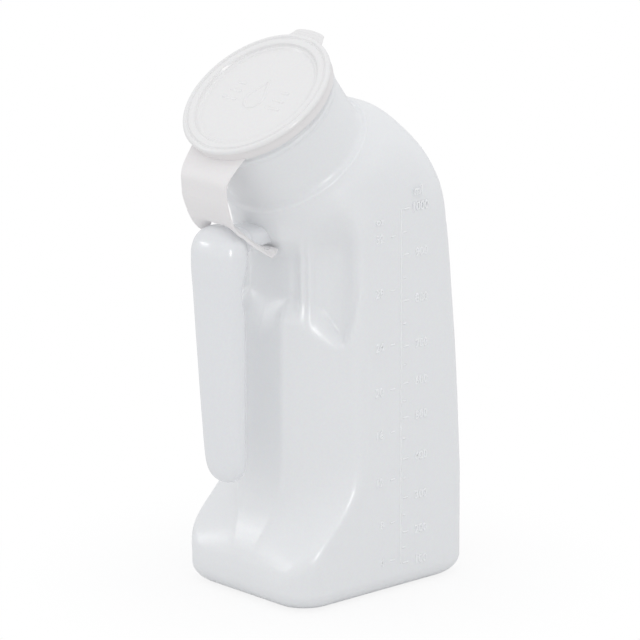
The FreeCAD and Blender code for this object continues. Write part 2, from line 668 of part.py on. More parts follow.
# distance along the centre line, y, z, half width
STRAP = [
    (0.0, -63.2, 171.7, 9.5), (4.2, -66.5, 174.2, 12.2), (8.6, -69.2, 177.6, 13.8),
    (13.8, -71.2, 182.4, 14.0), (18.9, -71.8, 187.4, 14.2), (23.9, -71.0, 192.3, 15.2),
    (28.9, -69.3, 197.0, 16.4), (33.0, -67.6, 200.7, 17.4),
]
STRAP_START = 0.4
FLEX_LOW, FLEX_TOP = 13.2, 28.3    # strap joints, as distances along the centre line
FLEX_GAP = 0.5
STRAP_STEP = 1.5             # least spacing of the strap stations
ROOT_DEPTH, ROOT_R = 2.3, 34.95    # end at the cap: depth below the cap top, middle radius
ROOT_HALF_WIDTH = 17.6
ROOT_TAPER = 0.3             # the inner face of that end is narrower on each side

RING_Y, RING_Z, RING_TILT = -49.7, 162.6, -33.0
RING_HALF_X, RING_HALF_Y = 12.3, 13.0    # opening
RING_BAND = 3.2
RING_SQUARENESS = 2.7        # superellipse exponent
RING_POINTS = 64


def oval(half_x, half_y, thickness):
    """Flat plate with a rounded, slightly squared outline."""
    points = []
    for i in range(RING_POINTS):
        angle = 2 * math.pi * i / RING_POINTS
        c, s = math.cos(angle), math.sin(angle)
        e = RING_SQUARENESS
        r = (abs(c / half_x) ** e + abs(s / half_y) ** e) ** (-1 / e)
        points.append(V(r * c, r * s, -thickness / 2))
    outline = Part.BSplineCurve()
    outline.interpolate(Points=points, PeriodicFlag=True)
    return Part.Face(Part.Wire([outline.toShape()])).extrude(V(0, 0, thickness))


def make_tether_ring():
    ring = oval(RING_HALF_X + RING_BAND, RING_HALF_Y + RING_BAND, STRAP_T)
    ring = ring.cut(oval(RING_HALF_X, RING_HALF_Y, 4 * STRAP_T))
    ring.Placement = FreeCAD.Placement(V(0, RING_Y, RING_Z),
                                       FreeCAD.Rotation(V(1, 0, 0), RING_TILT))
    return ring.Solids[0]


def strap_point(s, x, offset):
    """Point at distance s along the strap, offset from its middle surface."""
    _, z_before, _ = table(STRAP, s - 0.05)
    y, z, _ = table(STRAP, s)
    y_before, y_after = table(STRAP, s - 0.05)[0], table(STRAP, s + 0.05)[0]
    z_after = table(STRAP, s + 0.05)[1]
    along_y, along_z, _ = unit(y_after - y_before, z_after - z_before)
    return V(x, y - along_z * offset, z + along_y * offset)


def make_strap(start, end):
    """Piece of strap: the bent slab trimmed to its width as seen from the front."""
    n = int((end - start) / STRAP_STEP)
    stations = [lerp(start, end, i / n) for i in range(n + 1)]
    faces = [[strap_point(s, -20, side * STRAP_T / 2) for s in stations] for side in (1, -1)]
    slab = polygon_face(faces[0] + faces[1][::-1]).extrude(V(40, 0, 0))

    edge = [(half_width, z) for _, z, half_width in (table(STRAP, s) for s in stations)]
    edge = [(edge[0][0], edge[0][1] - 4)] + edge + [(edge[-1][0], edge[-1][1] + 4)]
    outline = [V(x, -100, z) for x, z in edge] + [V(-x, -100, z) for x, z in edge[::-1]]
    return slab.common(polygon_face(outline).extrude(V(0, 80, 0))).Solids[0]


def root_point(radius, x):
    """Point on the front of a circle round the neck axis, at the strap root."""
    return V(*neck_point(x, -math.sqrt(radius * radius - x * x), ROOT_DEPTH))


def make_strap_root(cap_lid):
    """Last piece of the strap, from its flat section to an arc round the cap skirt."""
    start, half = FLEX_TOP + FLEX_GAP / 2, STRAP_T / 2
    width = table(STRAP, start)[2]
    flat = [strap_point(start, x, offset)
            for x, offset in ((-width, half), (width, half), (width, -half), (-width, -half))]
    flat_end = Part.Wire([line(p, q) for p, q in zip(flat, flat[1:] + flat[:1])])

    outer_r, inner_r = ROOT_R + half, ROOT_R - half
    inner_x = ROOT_HALF_WIDTH - ROOT_TAPER
    outer_a, outer_b = root_point(outer_r, -ROOT_HALF_WIDTH), root_point(outer_r, ROOT_HALF_WIDTH)
    inner_b, inner_a = root_point(inner_r, inner_x), root_point(inner_r, -inner_x)
    round_end = Part.Wire([arc(outer_a, root_point(outer_r, 0), outer_b), line(outer_b, inner_b),
                           arc(inner_b, root_point(inner_r, 0), inner_a), line(inner_a, outer_a)])

    root = Part.makeLoft([flat_end, round_end], True, True)
    skirt_space = neck_frame(Part.makeCylinder(SKIRT_OUT, 40.0, V(0, 0, -SKIRT_H)))
    mouth_space = neck_frame(Part.makeCylinder(SKIRT_IN, 60.0, V(0, 0, -40.0)))
    return largest(root.cut(skirt_space).cut(mouth_space).cut(cap_lid))


# ---------------------------------------------------------------------------
# Build
# ---------------------------------------------------------------------------
os.makedirs("parts", exist_ok=True)

bottle_shell, bottle_outside = make_bottle()
write("bottle_shell", bottle_shell)
write("hook_handle", make_handle(bottle_outside))

write("scale_numerals_ml", make_ml_numerals())
write("scale_ticks", make_ml_ticks())
write("scale_numerals_oz", make_oz_numerals())

upright_cap = make_cap()
cap_lid = neck_frame(upright_cap)
write("cap_lid", cap_lid)
write("cap_emblem", neck_frame(make_emblem()))
write("pull_tab", neck_frame(make_tab(upright_cap)))

write("tether_ring", make_tether_ring())
write("strap_lower", make_strap(STRAP_START, FLEX_LOW - FLEX_GAP / 2))
write("strap_upper", make_strap(FLEX_LOW + FLEX_GAP / 2, FLEX_TOP - FLEX_GAP / 2))
write("strap_cap_root", make_strap_root(cap_lid))
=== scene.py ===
"""Milky one-litre jug with a hook handle on its front and a tethered cap on a leaning neck.

Shapes are worked out in millimetres and stored in metres. Z is up and the origin is the middle
of the standing face. -Y is the front, where the handle hangs and where the neck leans to;
+X carries the volume scale. Materials, lights and the camera are in metres.
"""
import math

import bmesh
import bpy
import numpy as np
from mathutils import Matrix, Vector, noise


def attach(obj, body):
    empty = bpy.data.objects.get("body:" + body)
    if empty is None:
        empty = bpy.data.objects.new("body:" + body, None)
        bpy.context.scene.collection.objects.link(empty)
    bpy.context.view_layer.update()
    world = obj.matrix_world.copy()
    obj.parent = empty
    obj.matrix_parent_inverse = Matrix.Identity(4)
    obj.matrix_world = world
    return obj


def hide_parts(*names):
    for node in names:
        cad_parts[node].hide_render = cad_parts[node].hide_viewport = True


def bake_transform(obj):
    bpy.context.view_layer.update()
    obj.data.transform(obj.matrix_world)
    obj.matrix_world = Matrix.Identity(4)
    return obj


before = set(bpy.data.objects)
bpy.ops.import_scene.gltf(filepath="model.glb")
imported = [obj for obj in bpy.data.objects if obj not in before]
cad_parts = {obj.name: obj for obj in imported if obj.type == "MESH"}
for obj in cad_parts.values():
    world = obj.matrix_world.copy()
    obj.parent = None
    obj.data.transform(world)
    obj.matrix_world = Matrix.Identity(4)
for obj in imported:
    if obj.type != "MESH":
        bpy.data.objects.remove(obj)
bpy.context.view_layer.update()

# ---------------------------------------------------------------------------
# Driving dimensions
# ---------------------------------------------------------------------------
MM = 0.001
HALF_WIDTH = 40.0            # bottle half width across X
HALF_DEPTH = 51.0            # half depth at the foot
CORNER_R = 15.5              # upright corner radius at the back
FOOT_FILLET = 8.0            # fillet between the wall and the standing face
WALL = 1.2                   # wall thickness
SHOULDER_Z = 158.0           # where the level sections end and the shoulder starts
LEAN_DEG = 36.3              # neck lean towards the front
LID_Y, LID_Z = -41.12, 223.3     # centre of the cap top
LID_R = 35.0
COLLAR_H = 38.0              # collar ridge below the cap top, along the neck
COLLAR_R = LID_R
NECK_R = 32.0                # neck outer radius
NECK_IN_R = NECK_R - WALL
NECK_TOP_H = 1.8             # neck mouth below the cap top
BEAD_R = 32.9                # bead round the neck under the cap

LEAN = math.radians(LEAN_DEG)
NECK_DY, NECK_DZ = -math.sin(LEAN), math.cos(LEAN)      # along the neck, upwards
MOUTH_DY, MOUTH_DZ = math.cos(LEAN), math.sin(LEAN)     # in the mouth plane, towards the back
COLLAR_Y = LID_Y - NECK_DY * COLLAR_H
COLLAR_Z = LID_Z - NECK_DZ * COLLAR_H
# the shoulder sections swing about this line, where the collar plane meets the last level one
PIVOT_Y = COLLAR_Y + (SHOULDER_Z - COLLAR_Z) / math.tan(LEAN)

# the bottle's columns of points, by bearing: 0 is the front (-Y), turning towards +X
N_COL = 384
BEARINGS = [-math.pi + 2 * math.pi * i / N_COL for i in range(N_COL)]


# ---------------------------------------------------------------------------
# Curves and outlines
# ---------------------------------------------------------------------------
def lerp(a, b, t):
    return a + (b - a) * t


def smoothstep(t):
    t = max(0.0, min(1.0, t))
    return t * t * (3 - 2 * t)


def signed_power(value, power):
    """Power that keeps the sign, for squared-off ellipses."""
    return math.copysign(abs(value) ** power, value)


def bell(s, middle, width):
    return math.exp(-((s - middle) / width) ** 2)


def circle_angles(count):
    return [2 * math.pi * j / count for j in range(count)]


def inner_slope(rows, i, column):
    """Slope at an inner row of a table, flat where the column turns."""
    h0 = rows[i][0] - rows[i - 1][0]
    h1 = rows[i + 1][0] - rows[i][0]
    d0 = (rows[i][column] - rows[i - 1][column]) / h0
    d1 = (rows[i + 1][column] - rows[i][column]) / h1
    if d0 * d1 <= 0:
        return 0.0
    w1, w2 = 2 * h1 + h0, h1 + 2 * h0
    return (w1 + w2) / (w1 / d0 + w2 / d1)


def end_slope(rise, run, other):
    """Slope at the first or last row, from the slope at the other end of its interval."""
    slope = 1.5 * rise / run - 0.5 * other
    return 0.0 if slope * rise < 0 else slope


def interpolate(rows, s):
    """Values of a table of (s, value, value...) at s, smooth and without overshoot."""
    if s <= rows[0][0]:
        return list(rows[0][1:])
    if s >= rows[-1][0]:
        return list(rows[-1][1:])
    k = 0
    while rows[k + 1][0] < s:
        k += 1
    run = rows[k + 1][0] - rows[k][0]
    t = (s - rows[k][0]) / run
    out = []
    for column in range(1, len(rows[0])):
        start, end = rows[k][column], rows[k + 1][column]
        if k == 0:
            m1 = inner_slope(rows, 1, column)
            m0 = end_slope(end - start, run, m1)
        elif k == len(rows) - 2:
            m0 = inner_slope(rows, k, column)
            m1 = end_slope(end - start, run, m0)
        else:
            m0 = inner_slope(rows, k, column)
            m1 = inner_slope(rows, k + 1, column)
        out.append((2 * t**3 - 3 * t**2 + 1) * start + (t**3 - 2 * t**2 + t) * run * m0
                   + (-2 * t**3 + 3 * t**2) * end + (t**3 - t**2) * run * m1)
    return out


def rounded(corners, radii, segments=10):
    """Closed polyline of a convex polygon with rounded corners."""
    points = []
    for i, corner in enumerate(corners):
        before, after = corners[i - 1], corners[(i + 1) % len(corners)]
        a = (before[0] - corner[0], before[1] - corner[1])
        b = (after[0] - corner[0], after[1] - corner[1])
        len_a, len_b = math.hypot(*a), math.hypot(*b)
        a = (a[0] / len_a, a[1] / len_a)
        b = (b[0] / len_b, b[1] / len_b)
        angle = math.acos(max(-1.0, min(1.0, a[0] * b[0] + a[1] * b[1])))
        if angle > math.pi - 0.02:
            # the sides run straight on
            points.append(corner)
            continue
        setback = min(radii[i] / math.tan(angle / 2), 0.48 * len_a, 0.48 * len_b)
        r = setback * math.tan(angle / 2)
        bx, by = a[0] + b[0], a[1] + b[1]
        bisector = math.hypot(bx, by)
        cx = corner[0] + bx / bisector * r / math.sin(angle / 2)
        cy = corner[1] + by / bisector * r / math.sin(angle / 2)
        start = math.atan2(corner[1] + a[1] * setback - cy, corner[0] + a[0] * setback - cx)
        end = math.atan2(corner[1] + b[1] * setback - cy, corner[0] + b[0] * setback - cx)
        sweep = (end - start + math.pi) % (2 * math.pi) - math.pi
        for k in range(segments + 1):
            q = start + sweep * k / segments
            points.append((cx + r * math.cos(q), cy + r * math.sin(q)))
    return points


def radii_from(outline, centre_y):
    """Distance from (0, centre_y) to a closed polyline along every bearing."""
    p = np.array(outline, float) - np.array([0.0, centre_y])
    e = np.roll(p, -1, axis=0) - p
    d = np.stack([np.sin(BEARINGS), -np.cos(BEARINGS)], axis=1)
    den = d[:, None, 0] * e[None, :, 1] - d[:, None, 1] * e[None, :, 0]
    crosses = np.abs(den) > 1e-9
    den = np.where(crosses, den, 1.0)
    t = (p[None, :, 0] * e[None, :, 1] - p[None, :, 1] * e[None, :, 0]) / den
    u = (p[None, :, 0] * d[:, None, 1] - p[None, :, 1] * d[:, None, 0]) / den
    hit = crosses & (u >= -1e-6) & (u <= 1 + 1e-6) & (t > 0)
    return [float(v) for v in np.where(hit, t, 0.0).max(axis=1)]


def catmull_rom(points, per_span):
    """Smooth curve through a list of pairs."""
    out = []
    n = len(points)
    for i in range(n - 1):
        span = (points[max(0, i - 1)], points[i], points[i + 1], points[min(n - 1, i + 2)])
        for k in range(per_span):
            t = k / per_span
            out.append(tuple(
                0.5 * (2 * p1 + (p2 - p0) * t + (2 * p0 - 5 * p1 + 4 * p2 - p3) * t * t
                       + (3 * p1 - p0 - 3 * p2 + p3) * t ** 3)
                for p0, p1, p2, p3 in zip(*span)))
    out.append(points[-1])
    return out


def neck_point(x, back, depth):
    """x across, back in the mouth plane towards the back, depth below the cap top."""
    return (x, LID_Y + MOUTH_DY * back - NECK_DY * depth,
            LID_Z + MOUTH_DZ * back - NECK_DZ * depth)


# ---------------------------------------------------------------------------
# Mesh helpers
# ---------------------------------------------------------------------------
def new_object(name, data):
    ob = bpy.data.objects.new(name, data)
    bpy.context.scene.collection.objects.link(ob)
    return ob


def tidy_into(bm, mesh, merge, sharp_deg=None):
    """Merge doubles, face outwards, shade smooth but for sharp edges, and store in the mesh."""
    bmesh.ops.remove_doubles(bm, verts=bm.verts, dist=merge)
    bmesh.ops.recalc_face_normals(bm, faces=bm.faces)
    for face in bm.faces:
        face.smooth = True
    if sharp_deg is not None:
        limit = math.radians(sharp_deg)
        for edge in bm.edges:
            edge.smooth = not (len(edge.link_faces) == 2 and edge.calc_face_angle(0.0) > limit)
    bm.to_mesh(mesh)
    bm.free()


def add_object(name, verts, faces, sharp_deg=None):
    """Object from points in millimetres."""
    mesh = bpy.data.meshes.new(name)
    mesh.from_pydata([tuple(float(c) * MM for c in v) for v in verts], [], faces)
    mesh.validate()
    bm = bmesh.new()
    bm.from_mesh(mesh)
    tidy_into(bm, mesh, merge=1e-7, sharp_deg=sharp_deg)
    return new_object(name, mesh)


def strip_faces(m, n, base=0, closed=False):
    """Quads between m closed rows of n points; closed joins the last row to the first."""
    out = []
    for i in range(m if closed else m - 1):
        here, there = base + i * n, base + (i + 1) % m * n
        for j in range(n):
            k = (j + 1) % n
            out.append((here + j, here + k, there + k, there + j))
    return out


def end_faces(m, n, base=0):
    """One polygon over the first and one over the last of m rows of n points."""
    last = base + (m - 1) * n
    return [tuple(range(base, base + n)), tuple(range(last, last + n))]


def closed_loft(name, rows):
    """Skin over closed rows, with a fan over each end."""
    rows = [np.array(row, float) for row in rows]
    n = len(rows[0])
    verts = np.vstack(rows + [rows[0].mean(axis=0)[None], rows[-1].mean(axis=0)[None]])
    faces = strip_faces(len(rows), n)
    first_mid, last_mid = len(verts) - 2, len(verts) - 1
    last = (len(rows) - 1) * n
    for j in range(n):
        faces.append((j, (j + 1) % n, first_mid))
        faces.append((last + j, last + (j + 1) % n, last_mid))
    return add_object(name, verts, faces)


def fit(piece, material, slot, *cad_pieces):
    piece.data.materials.append(material)
    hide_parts(*cad_pieces)


# ---------------------------------------------------------------------------
# Materials
# ---------------------------------------------------------------------------
# sockets of a Mix node that mixes colours
MIX_A, MIX_B, MIX_OUT = 6, 7, 2


def add_node(tree, kind, values=None, **settings):
    """New node with its settings, and default values by input socket."""
    node = tree.nodes.new(kind)
    for key, value in settings.items():
        setattr(node, key, value)
    for socket, value in (values or {}).items():
        node.inputs[socket].default_value = value
    return node


def add_noise(tree, coords, scale, detail=2.0, roughness=0.5):
    node = add_node(tree, "ShaderNodeTexNoise",
                    {"Scale": scale, "Detail": detail, "Roughness": roughness})
    tree.links.new(coords, node.inputs["Vector"])
    return node


def add_ramp(tree, factor, first, last):
    """Colour ramp over a noise, from (position, colour) to (position, colour)."""
    node = add_node(tree, "ShaderNodeValToRGB")
    for element, (position, colour) in zip(node.color_ramp.elements, (first, last)):
        element.position = position
        element.color = (*colour, 1)
    tree.links.new(factor, node.inputs["Fac"])
    return node.outputs["Color"]


def add_range(tree, value, from_min, from_max, to_min=0.0, to_max=1.0, **settings):
    node = add_node(tree, "ShaderNodeMapRange",
                    {"From Min": from_min, "From Max": from_max,
                     "To Min": to_min, "To Max": to_max}, **settings)
    tree.links.new(value, node.inputs["Value"])
    return node.outputs["Result"]


def add_bump(tree, height, distance):
    node = add_node(tree, "ShaderNodeBump", {"Strength": 1.0, "Distance": distance})
    tree.links.new(height, node.inputs["Height"])
    return node


def add_skirt_colour(tree, coords, plain, skirt):
    """Painted shade: the thin skirt below the cap's rim is coloured darker than the top, standing
    in for the shade under the rim's overhang.
    """
    link = tree.links.new
    along = add_node(tree, "ShaderNodeVectorMath", {1: (0.0, NECK_DY, NECK_DZ)},
                     operation="DOT_PRODUCT")
    link(coords, along.inputs[0])
    top = (LID_Y * NECK_DY + LID_Z * NECK_DZ) * MM
    shade_below_rim = add_range(tree, along.outputs["Value"],
                          from_min=top - 0.0014, from_max=top - 0.0021)
    reach = add_node(tree, "ShaderNodeVectorMath", {1: (0.0, LID_Y * MM, LID_Z * MM)},
                     operation="DISTANCE")
    link(coords, reach.inputs[0])
    outside = add_range(tree, reach.outputs["Value"], from_min=0.0329, from_max=0.0335)
    both = add_node(tree, "ShaderNodeMath", operation="MULTIPLY")
    link(shade_below_rim, both.inputs[0])
    link(outside, both.inputs[1])
    mix = add_node(tree, "ShaderNodeMix", data_type="RGBA")
    mix.inputs[MIX_B].default_value = (*skirt, 1)
    link(both.outputs["Value"], mix.inputs["Factor"])
    link(plain, mix.inputs[MIX_A])
    return mix.outputs[MIX_OUT]


def plastic(name, colour, tint, roughness, glow, grain, wave, scatter=0.0,
            scatter_depth=0.002, coat=0.0, skirt=None):
    """Moulded plastic: cloudy colour between colour and tint, scattering in the wall, a painted
    glow standing in for light through the thin wall, fine grain and a slight orange peel (wave),
    both as bump distances in metres."""
    material = bpy.data.materials.new(name)
    material.use_nodes = True
    tree = material.node_tree
    link = tree.links.new
    shader = tree.nodes["Principled BSDF"]
    coords = add_node(tree, "ShaderNodeTexCoord").outputs["Object"]

    cloud = add_noise(tree, coords, scale=26.0, detail=1.5, roughness=0.55).outputs["Fac"]
    cloudy = tuple(lerp(c, k, 0.25) for c, k in zip(colour, tint))
    clouded = add_ramp(tree, cloud, first=(0.15, cloudy), last=(0.85, colour))
    speck = add_noise(tree, coords, scale=900.0)
    mix = add_node(tree, "ShaderNodeMix", {"Factor": 0.07}, data_type="RGBA",
                   blend_type="MULTIPLY")
    link(clouded, mix.inputs[MIX_A])
    link(speck.outputs["Color"], mix.inputs[MIX_B])
    surface = mix.outputs[MIX_OUT]
    # painted shade: a darker colour on the skirt under the cap's rim
    if skirt:
        surface = add_skirt_colour(tree, coords, surface, skirt)
    link(surface, shader.inputs["Base Color"])

    link(add_range(tree, cloud, from_min=0.15, from_max=0.85,
                   to_min=roughness - 0.01, to_max=roughness + 0.02),
         shader.inputs["Roughness"])

    peel = add_noise(tree, coords, scale=260.0, detail=1.0)
    fine = add_noise(tree, coords, scale=2600.0)
    peel_bump = add_bump(tree, peel.outputs["Fac"], wave)
    grain_bump = add_bump(tree, fine.outputs["Fac"], grain)
    link(peel_bump.outputs["Normal"], grain_bump.inputs["Normal"])
    link(grain_bump.outputs["Normal"], shader.inputs["Normal"])

    for socket, value in {
        "IOR": 1.53,
        "Subsurface Weight": scatter,
        "Subsurface Radius": (1.0, 1.0, 1.0),
        "Subsurface Scale": scatter_depth,
        "Coat Weight": coat,
        "Coat Roughness": 0.18,
        # painted glow: emission standing in for light that comes through the thin wall from behind
        "Emission Color": (*colour, 1),
        "Emission Strength": glow,
    }.items():
        shader.inputs[socket].default_value = value
    return material


MAT_BOTTLE = plastic("milky_bottle", colour=(0.835, 0.845, 0.858), tint=(0.815, 0.826, 0.842),
                     roughness=0.305, glow=0.058, grain=0.00002, wave=0.00004,
                     scatter=0.3, scatter_depth=0.0015)
MAT_HANDLE = plastic("milky_handle", colour=(0.835, 0.847, 0.866), tint=(0.815, 0.829, 0.852),
                     roughness=0.235, glow=0.043, grain=0.00002, wave=0.00004,
                     scatter_depth=0.004)
# Painted light: the raised marks are a lighter copy of the bottle's plastic, offsetting the shade
# round the raised figures.
MAT_MARK = plastic("raised_marks", colour=(0.885, 0.895, 0.905), tint=(0.87, 0.882, 0.895),
                   roughness=0.235, glow=0.06, grain=0.00001, wave=0.00002,
                   scatter_depth=0.003)
# the cap's skirt colour is painted shade under the rim, not a different plastic
MAT_CAP = plastic("cap_white", colour=(0.885, 0.88, 0.88), tint=(0.862, 0.858, 0.858),
                  roughness=0.305, glow=0.012, grain=0.00001, wave=0.00005, coat=0.15,
                  skirt=(0.84, 0.82, 0.82))
MAT_STRAP = plastic("strap_white", colour=(0.875, 0.858, 0.86), tint=(0.857, 0.838, 0.841),
                    roughness=0.5, glow=0.03, grain=0.00002, wave=0.00004)

# ---------------------------------------------------------------------------
# Bottle: outside, mouth, inside, foot
# ---------------------------------------------------------------------------
# level sections: height, back y, side-vertex y (where the slanting panel meets the side wall),
# front y, half width of the front wall, side-vertex radius, front-edge radius
LEVELS = [
    (0.0, 51.0, -51.0, -51.0, 4.0, 14.5, 10.0),
    (10.0, 51.0, -51.0, -51.0, 4.0, 14.5, 10.0),
    (16.0, 51.0, -50.0, -50.5, 4.6, 12.5, 9.0),
    (20.0, 51.0, -48.0, -49.5, 5.4, 10.0, 7.5),
    (24.0, 51.0, -45.0, -48.0, 6.4, 7.5, 6.0),
    (28.0, 51.0, -41.0, -46.2, 7.6, 6.0, 5.0),
    (32.0, 51.0, -36.6, -44.3, 8.9, 5.2, 4.2),
    (38.0, 51.0, -29.8, -42.0, 10.7, 5.0, 3.6),
    (45.0, 51.0, -23.2, -40.4, 12.5, 5.2, 3.2),
    (52.0, 50.7, -18.8, -39.7, 13.7, 6.4, 3.4),
    (60.0, 50.3, -16.9, -39.5, 14.3, 8.4, 3.8),
    (68.0, 49.9, -16.5, -39.5, 14.5, 9.6, 4.0),
    (81.0, 49.2, -16.5, -39.5, 14.5, 10.0, 4.0),
    (102.0, 47.8, -16.5, -39.5, 14.5, 10.0, 4.0),
    (116.0, 46.6, -16.5, -39.5, 14.5, 9.0, 4.0),
    (130.0, 45.3, -16.5, -39.6, 14.5, 8.0, 4.5),
    (146.0, 43.8, -16.5, -39.9, 14.5, 8.0, 5.0),
    (SHOULDER_Z, 42.4, -16.5, -40.5, 14.5, 9.0, 6.0),
]
# shoulder sections: swing angle, back and front distance from the pivot line, half width
SWING = [
    (0.0, 107.8, 25.3, HALF_WIDTH),
    (5.4, 107.4, 25.0, HALF_WIDTH),
    (12.0, 107.6, 24.6, 39.9),
    (17.8, 107.4, 24.3, 39.6),
    (23.1, 106.0, 24.0, 39.0),
    (29.1, 102.4, 23.8, 37.8),
    (34.0, 96.6, 23.6, 35.8),
    (LEAN_DEG, 93.6, 23.6, COLLAR_R),
]
SWING_STEPS = 44
# hollow round the front: bearing, depth, then the heights where it starts, is full,
# starts to fade and ends
NOTCH = [
    (0.0, 6.5, 113.0, 138.0, 150.0, 163.0),
    (12.0, 6.6, 117.0, 137.0, 150.0, 163.0),
    (19.0, 6.9, 123.0, 134.8, 150.0, 163.0),
    (24.0, 6.4, 124.0, 134.5, 150.0, 163.0),
    (28.0, 4.8, 123.5, 134.5, 150.0, 164.0),
    (31.0, 2.5, 122.0, 134.5, 150.0, 165.0),
    (33.4, 3.0, 120.5, 134.5, 150.0, 166.0),
    (36.0, 2.4, 119.0, 134.0, 150.0, 168.0),
    (40.0, 4.2, 117.0, 133.0, 150.0, 170.0),
    (46.0, 5.5, 114.5, 130.0, 151.0, 174.0),
    (54.0, 6.0, 113.0, 122.5, 152.0, 177.0),
    (58.5, 5.7, 113.5, 119.5, 152.0, 178.0),
    (61.5, 4.4, 117.5, 124.0, 152.0, 178.0),
    (64.5, 2.0, 125.0, 134.0, 152.0, 177.0),
    (67.5, 0.3, 134.0, 144.0, 152.0, 174.0),
    (70.0, 0.0, 138.0, 147.0, 152.0, 172.0),
    (180.0, 0.0, 138.0, 148.0, 152.0, 170.0),
]
NOTCH_BEARING, NOTCH_LOW = 70.0, 105.0       # no hollow beyond this bearing or below this height
# neck outside, from the collar up: depth below the cap top, radius
NECK_OUTSIDE = [
    (COLLAR_H, COLLAR_R), (COLLAR_H - 0.5, COLLAR_R - 0.12), (COLLAR_H - 0.95, COLLAR_R - 0.6),
    (COLLAR_H - 1.3, COLLAR_R - 1.5), (COLLAR_H - 1.9, NECK_R + 0.8),
    (COLLAR_H - 3.2, NECK_R + 0.2), (COLLAR_H - 6.0, NECK_R), (28.0, NECK_R), (22.0, NECK_R),
    (16.0, NECK_R), (12.6, NECK_R), (11.6, NECK_R + 0.2), (10.9, NECK_R + 0.75), (10.1, BEAD_R),
    (9.3, NECK_R + 0.75), (8.6, NECK_R + 0.2), (7.6, NECK_R), (5.0, NECK_R), (2.6, NECK_R),
    (2.0, NECK_R - 0.12), (NECK_TOP_H, NECK_R - 0.4),
]
# neck inside, from the shoulder up: depth below the cap top, radius
NECK_INSIDE = [
    (39.6, 33.9), (39.0, 33.6), (38.4, 33.1), (38.0, 32.4), (37.4, 31.6), (36.0, 30.98),
    (34.0, NECK_IN_R), (26.0, NECK_IN_R), (18.0, NECK_IN_R), (10.0, NECK_IN_R),
    (4.0, NECK_IN_R), (2.4, NECK_IN_R + 0.02), (2.0, NECK_IN_R + 0.14),
    (NECK_TOP_H, NECK_IN_R + 0.4),
]


def sink(x, y, z):
    """Point of the wall, moved towards the Z axis by the depth of the hollow there."""
    bearing = abs(math.degrees(math.atan2(x, -y)))
    if bearing > NOTCH_BEARING or z < NOTCH_LOW:
        return (x, y, z)
    depth, start, full, fade, end = interpolate(NOTCH, bearing)
    depth = (depth * smoothstep((z - start) / (full - start))
             * (1.0 - smoothstep((z - fade) / (end - fade))))
    k = (math.hypot(x, y) - depth) / math.hypot(x, y)
    return (x * k, y * k, z)


def section_radii(half_width, back, side, front, front_half, side_r, front_r, centre_y=0.0):
    """Six-sided section with rounded corners, as distances along the bearings."""
    corners = [(front_half, front), (half_width, side), (half_width, back),
               (-half_width, back), (-half_width, side), (-front_half, front)]
    radii = [front_r, side_r, CORNER_R, CORNER_R, side_r, front_r]
    return radii_from(rounded(corners, radii), centre_y)


def level_row(z):
    inset = 0.0
    if z < FOOT_FILLET:
        inset = FOOT_FILLET - math.sqrt(max(0.0, FOOT_FILLET**2 - (FOOT_FILLET - z)**2))
    row = []
    for bearing, r in zip(BEARINGS, section_radii(HALF_WIDTH, *interpolate(LEVELS, z))):
        x, y = r * math.sin(bearing), -r * math.cos(bearing)
        x *= (HALF_WIDTH - inset) / HALF_WIDTH
        y *= (HALF_DEPTH - inset) / HALF_DEPTH
        row.append(sink(x, y, z))
    return row


def swing_row(angle):
    """Shoulder section, turning from the last level one into the collar's circle."""
    back, front, half_width = interpolate(SWING, angle)
    _, side_y, front_y, front_half, side_r, front_r = interpolate(LEVELS, SHOULDER_Z)
    tilt = math.radians(angle)
    # distances from the pivot line: centre of the bearings, then middle and half of the depth
    centre = lerp(-PIVOT_Y, (COLLAR_Y - PIVOT_Y) / MOUTH_DY, angle / LEAN_DEG)
    middle = 0.5 * (back + front)
    half_depth = 0.5 * (back - front)
    side = centre + side_y * ((centre - front) / (-front_y))
    radii = section_radii(half_width, back, side, front, front_half, side_r, front_r, centre)
    roundness = smoothstep((angle - 3.0) / (LEAN_DEG - 3.0))
    row = []
    for bearing, r in zip(BEARINGS, radii):
        dx, dv = math.sin(bearing), -math.cos(bearing)
        # where the bearing leaves the ellipse about the middle: a r^2 + 2 b r + c = 0
        offset = centre - middle
        a = dx * dx / (half_width * half_width) + dv * dv / (half_depth * half_depth)
        b = offset * dv / (half_depth * half_depth)
        c = offset * offset / (half_depth * half_depth) - 1.0
        ellipse = (-b + math.sqrt(max(0.0, b * b - a * c))) / a
        r = lerp(r, ellipse, roundness)
        v = centre + r * dv
        row.append(sink(r * dx, PIVOT_Y + v * math.cos(tilt), SHOULDER_Z + v * math.sin(tilt)))
    return row


def neck_row(depth, radius):
    """Circle round the neck axis."""
    cy, cz = LID_Y - NECK_DY * depth, LID_Z - NECK_DZ * depth
    return [(radius * math.sin(p), cy - radius * math.cos(p) * MOUTH_DY,
             cz - radius * math.cos(p) * MOUTH_DZ) for p in BEARINGS]


def level_heights():
    """Heights of the level sections, closer together where the outline changes quickly."""
    heights = [FOOT_FILLET * (1 - math.cos(math.radians(a))) for a in range(0, 91, 6)]
    z = FOOT_FILLET
    while z < SHOULDER_Z - 0.4:
        z += 0.9 if (z < 62 or z > 106) else 2.0
        heights.append(z)
    heights[-1] = SHOULDER_Z
    return heights


def inward(rows, distance):
    """Rows moved towards the inside along their normals."""
    a = np.array(rows, float)
    up = np.vstack([a[1:], a[-1:]]) - np.vstack([a[:1], a[:-1]])
    side = np.roll(a, -1, axis=1) - np.roll(a, 1, axis=1)
    normal = np.cross(up, side)
    normal /= np.linalg.norm(normal, axis=2)[:, :, None]
    return a + distance * normal


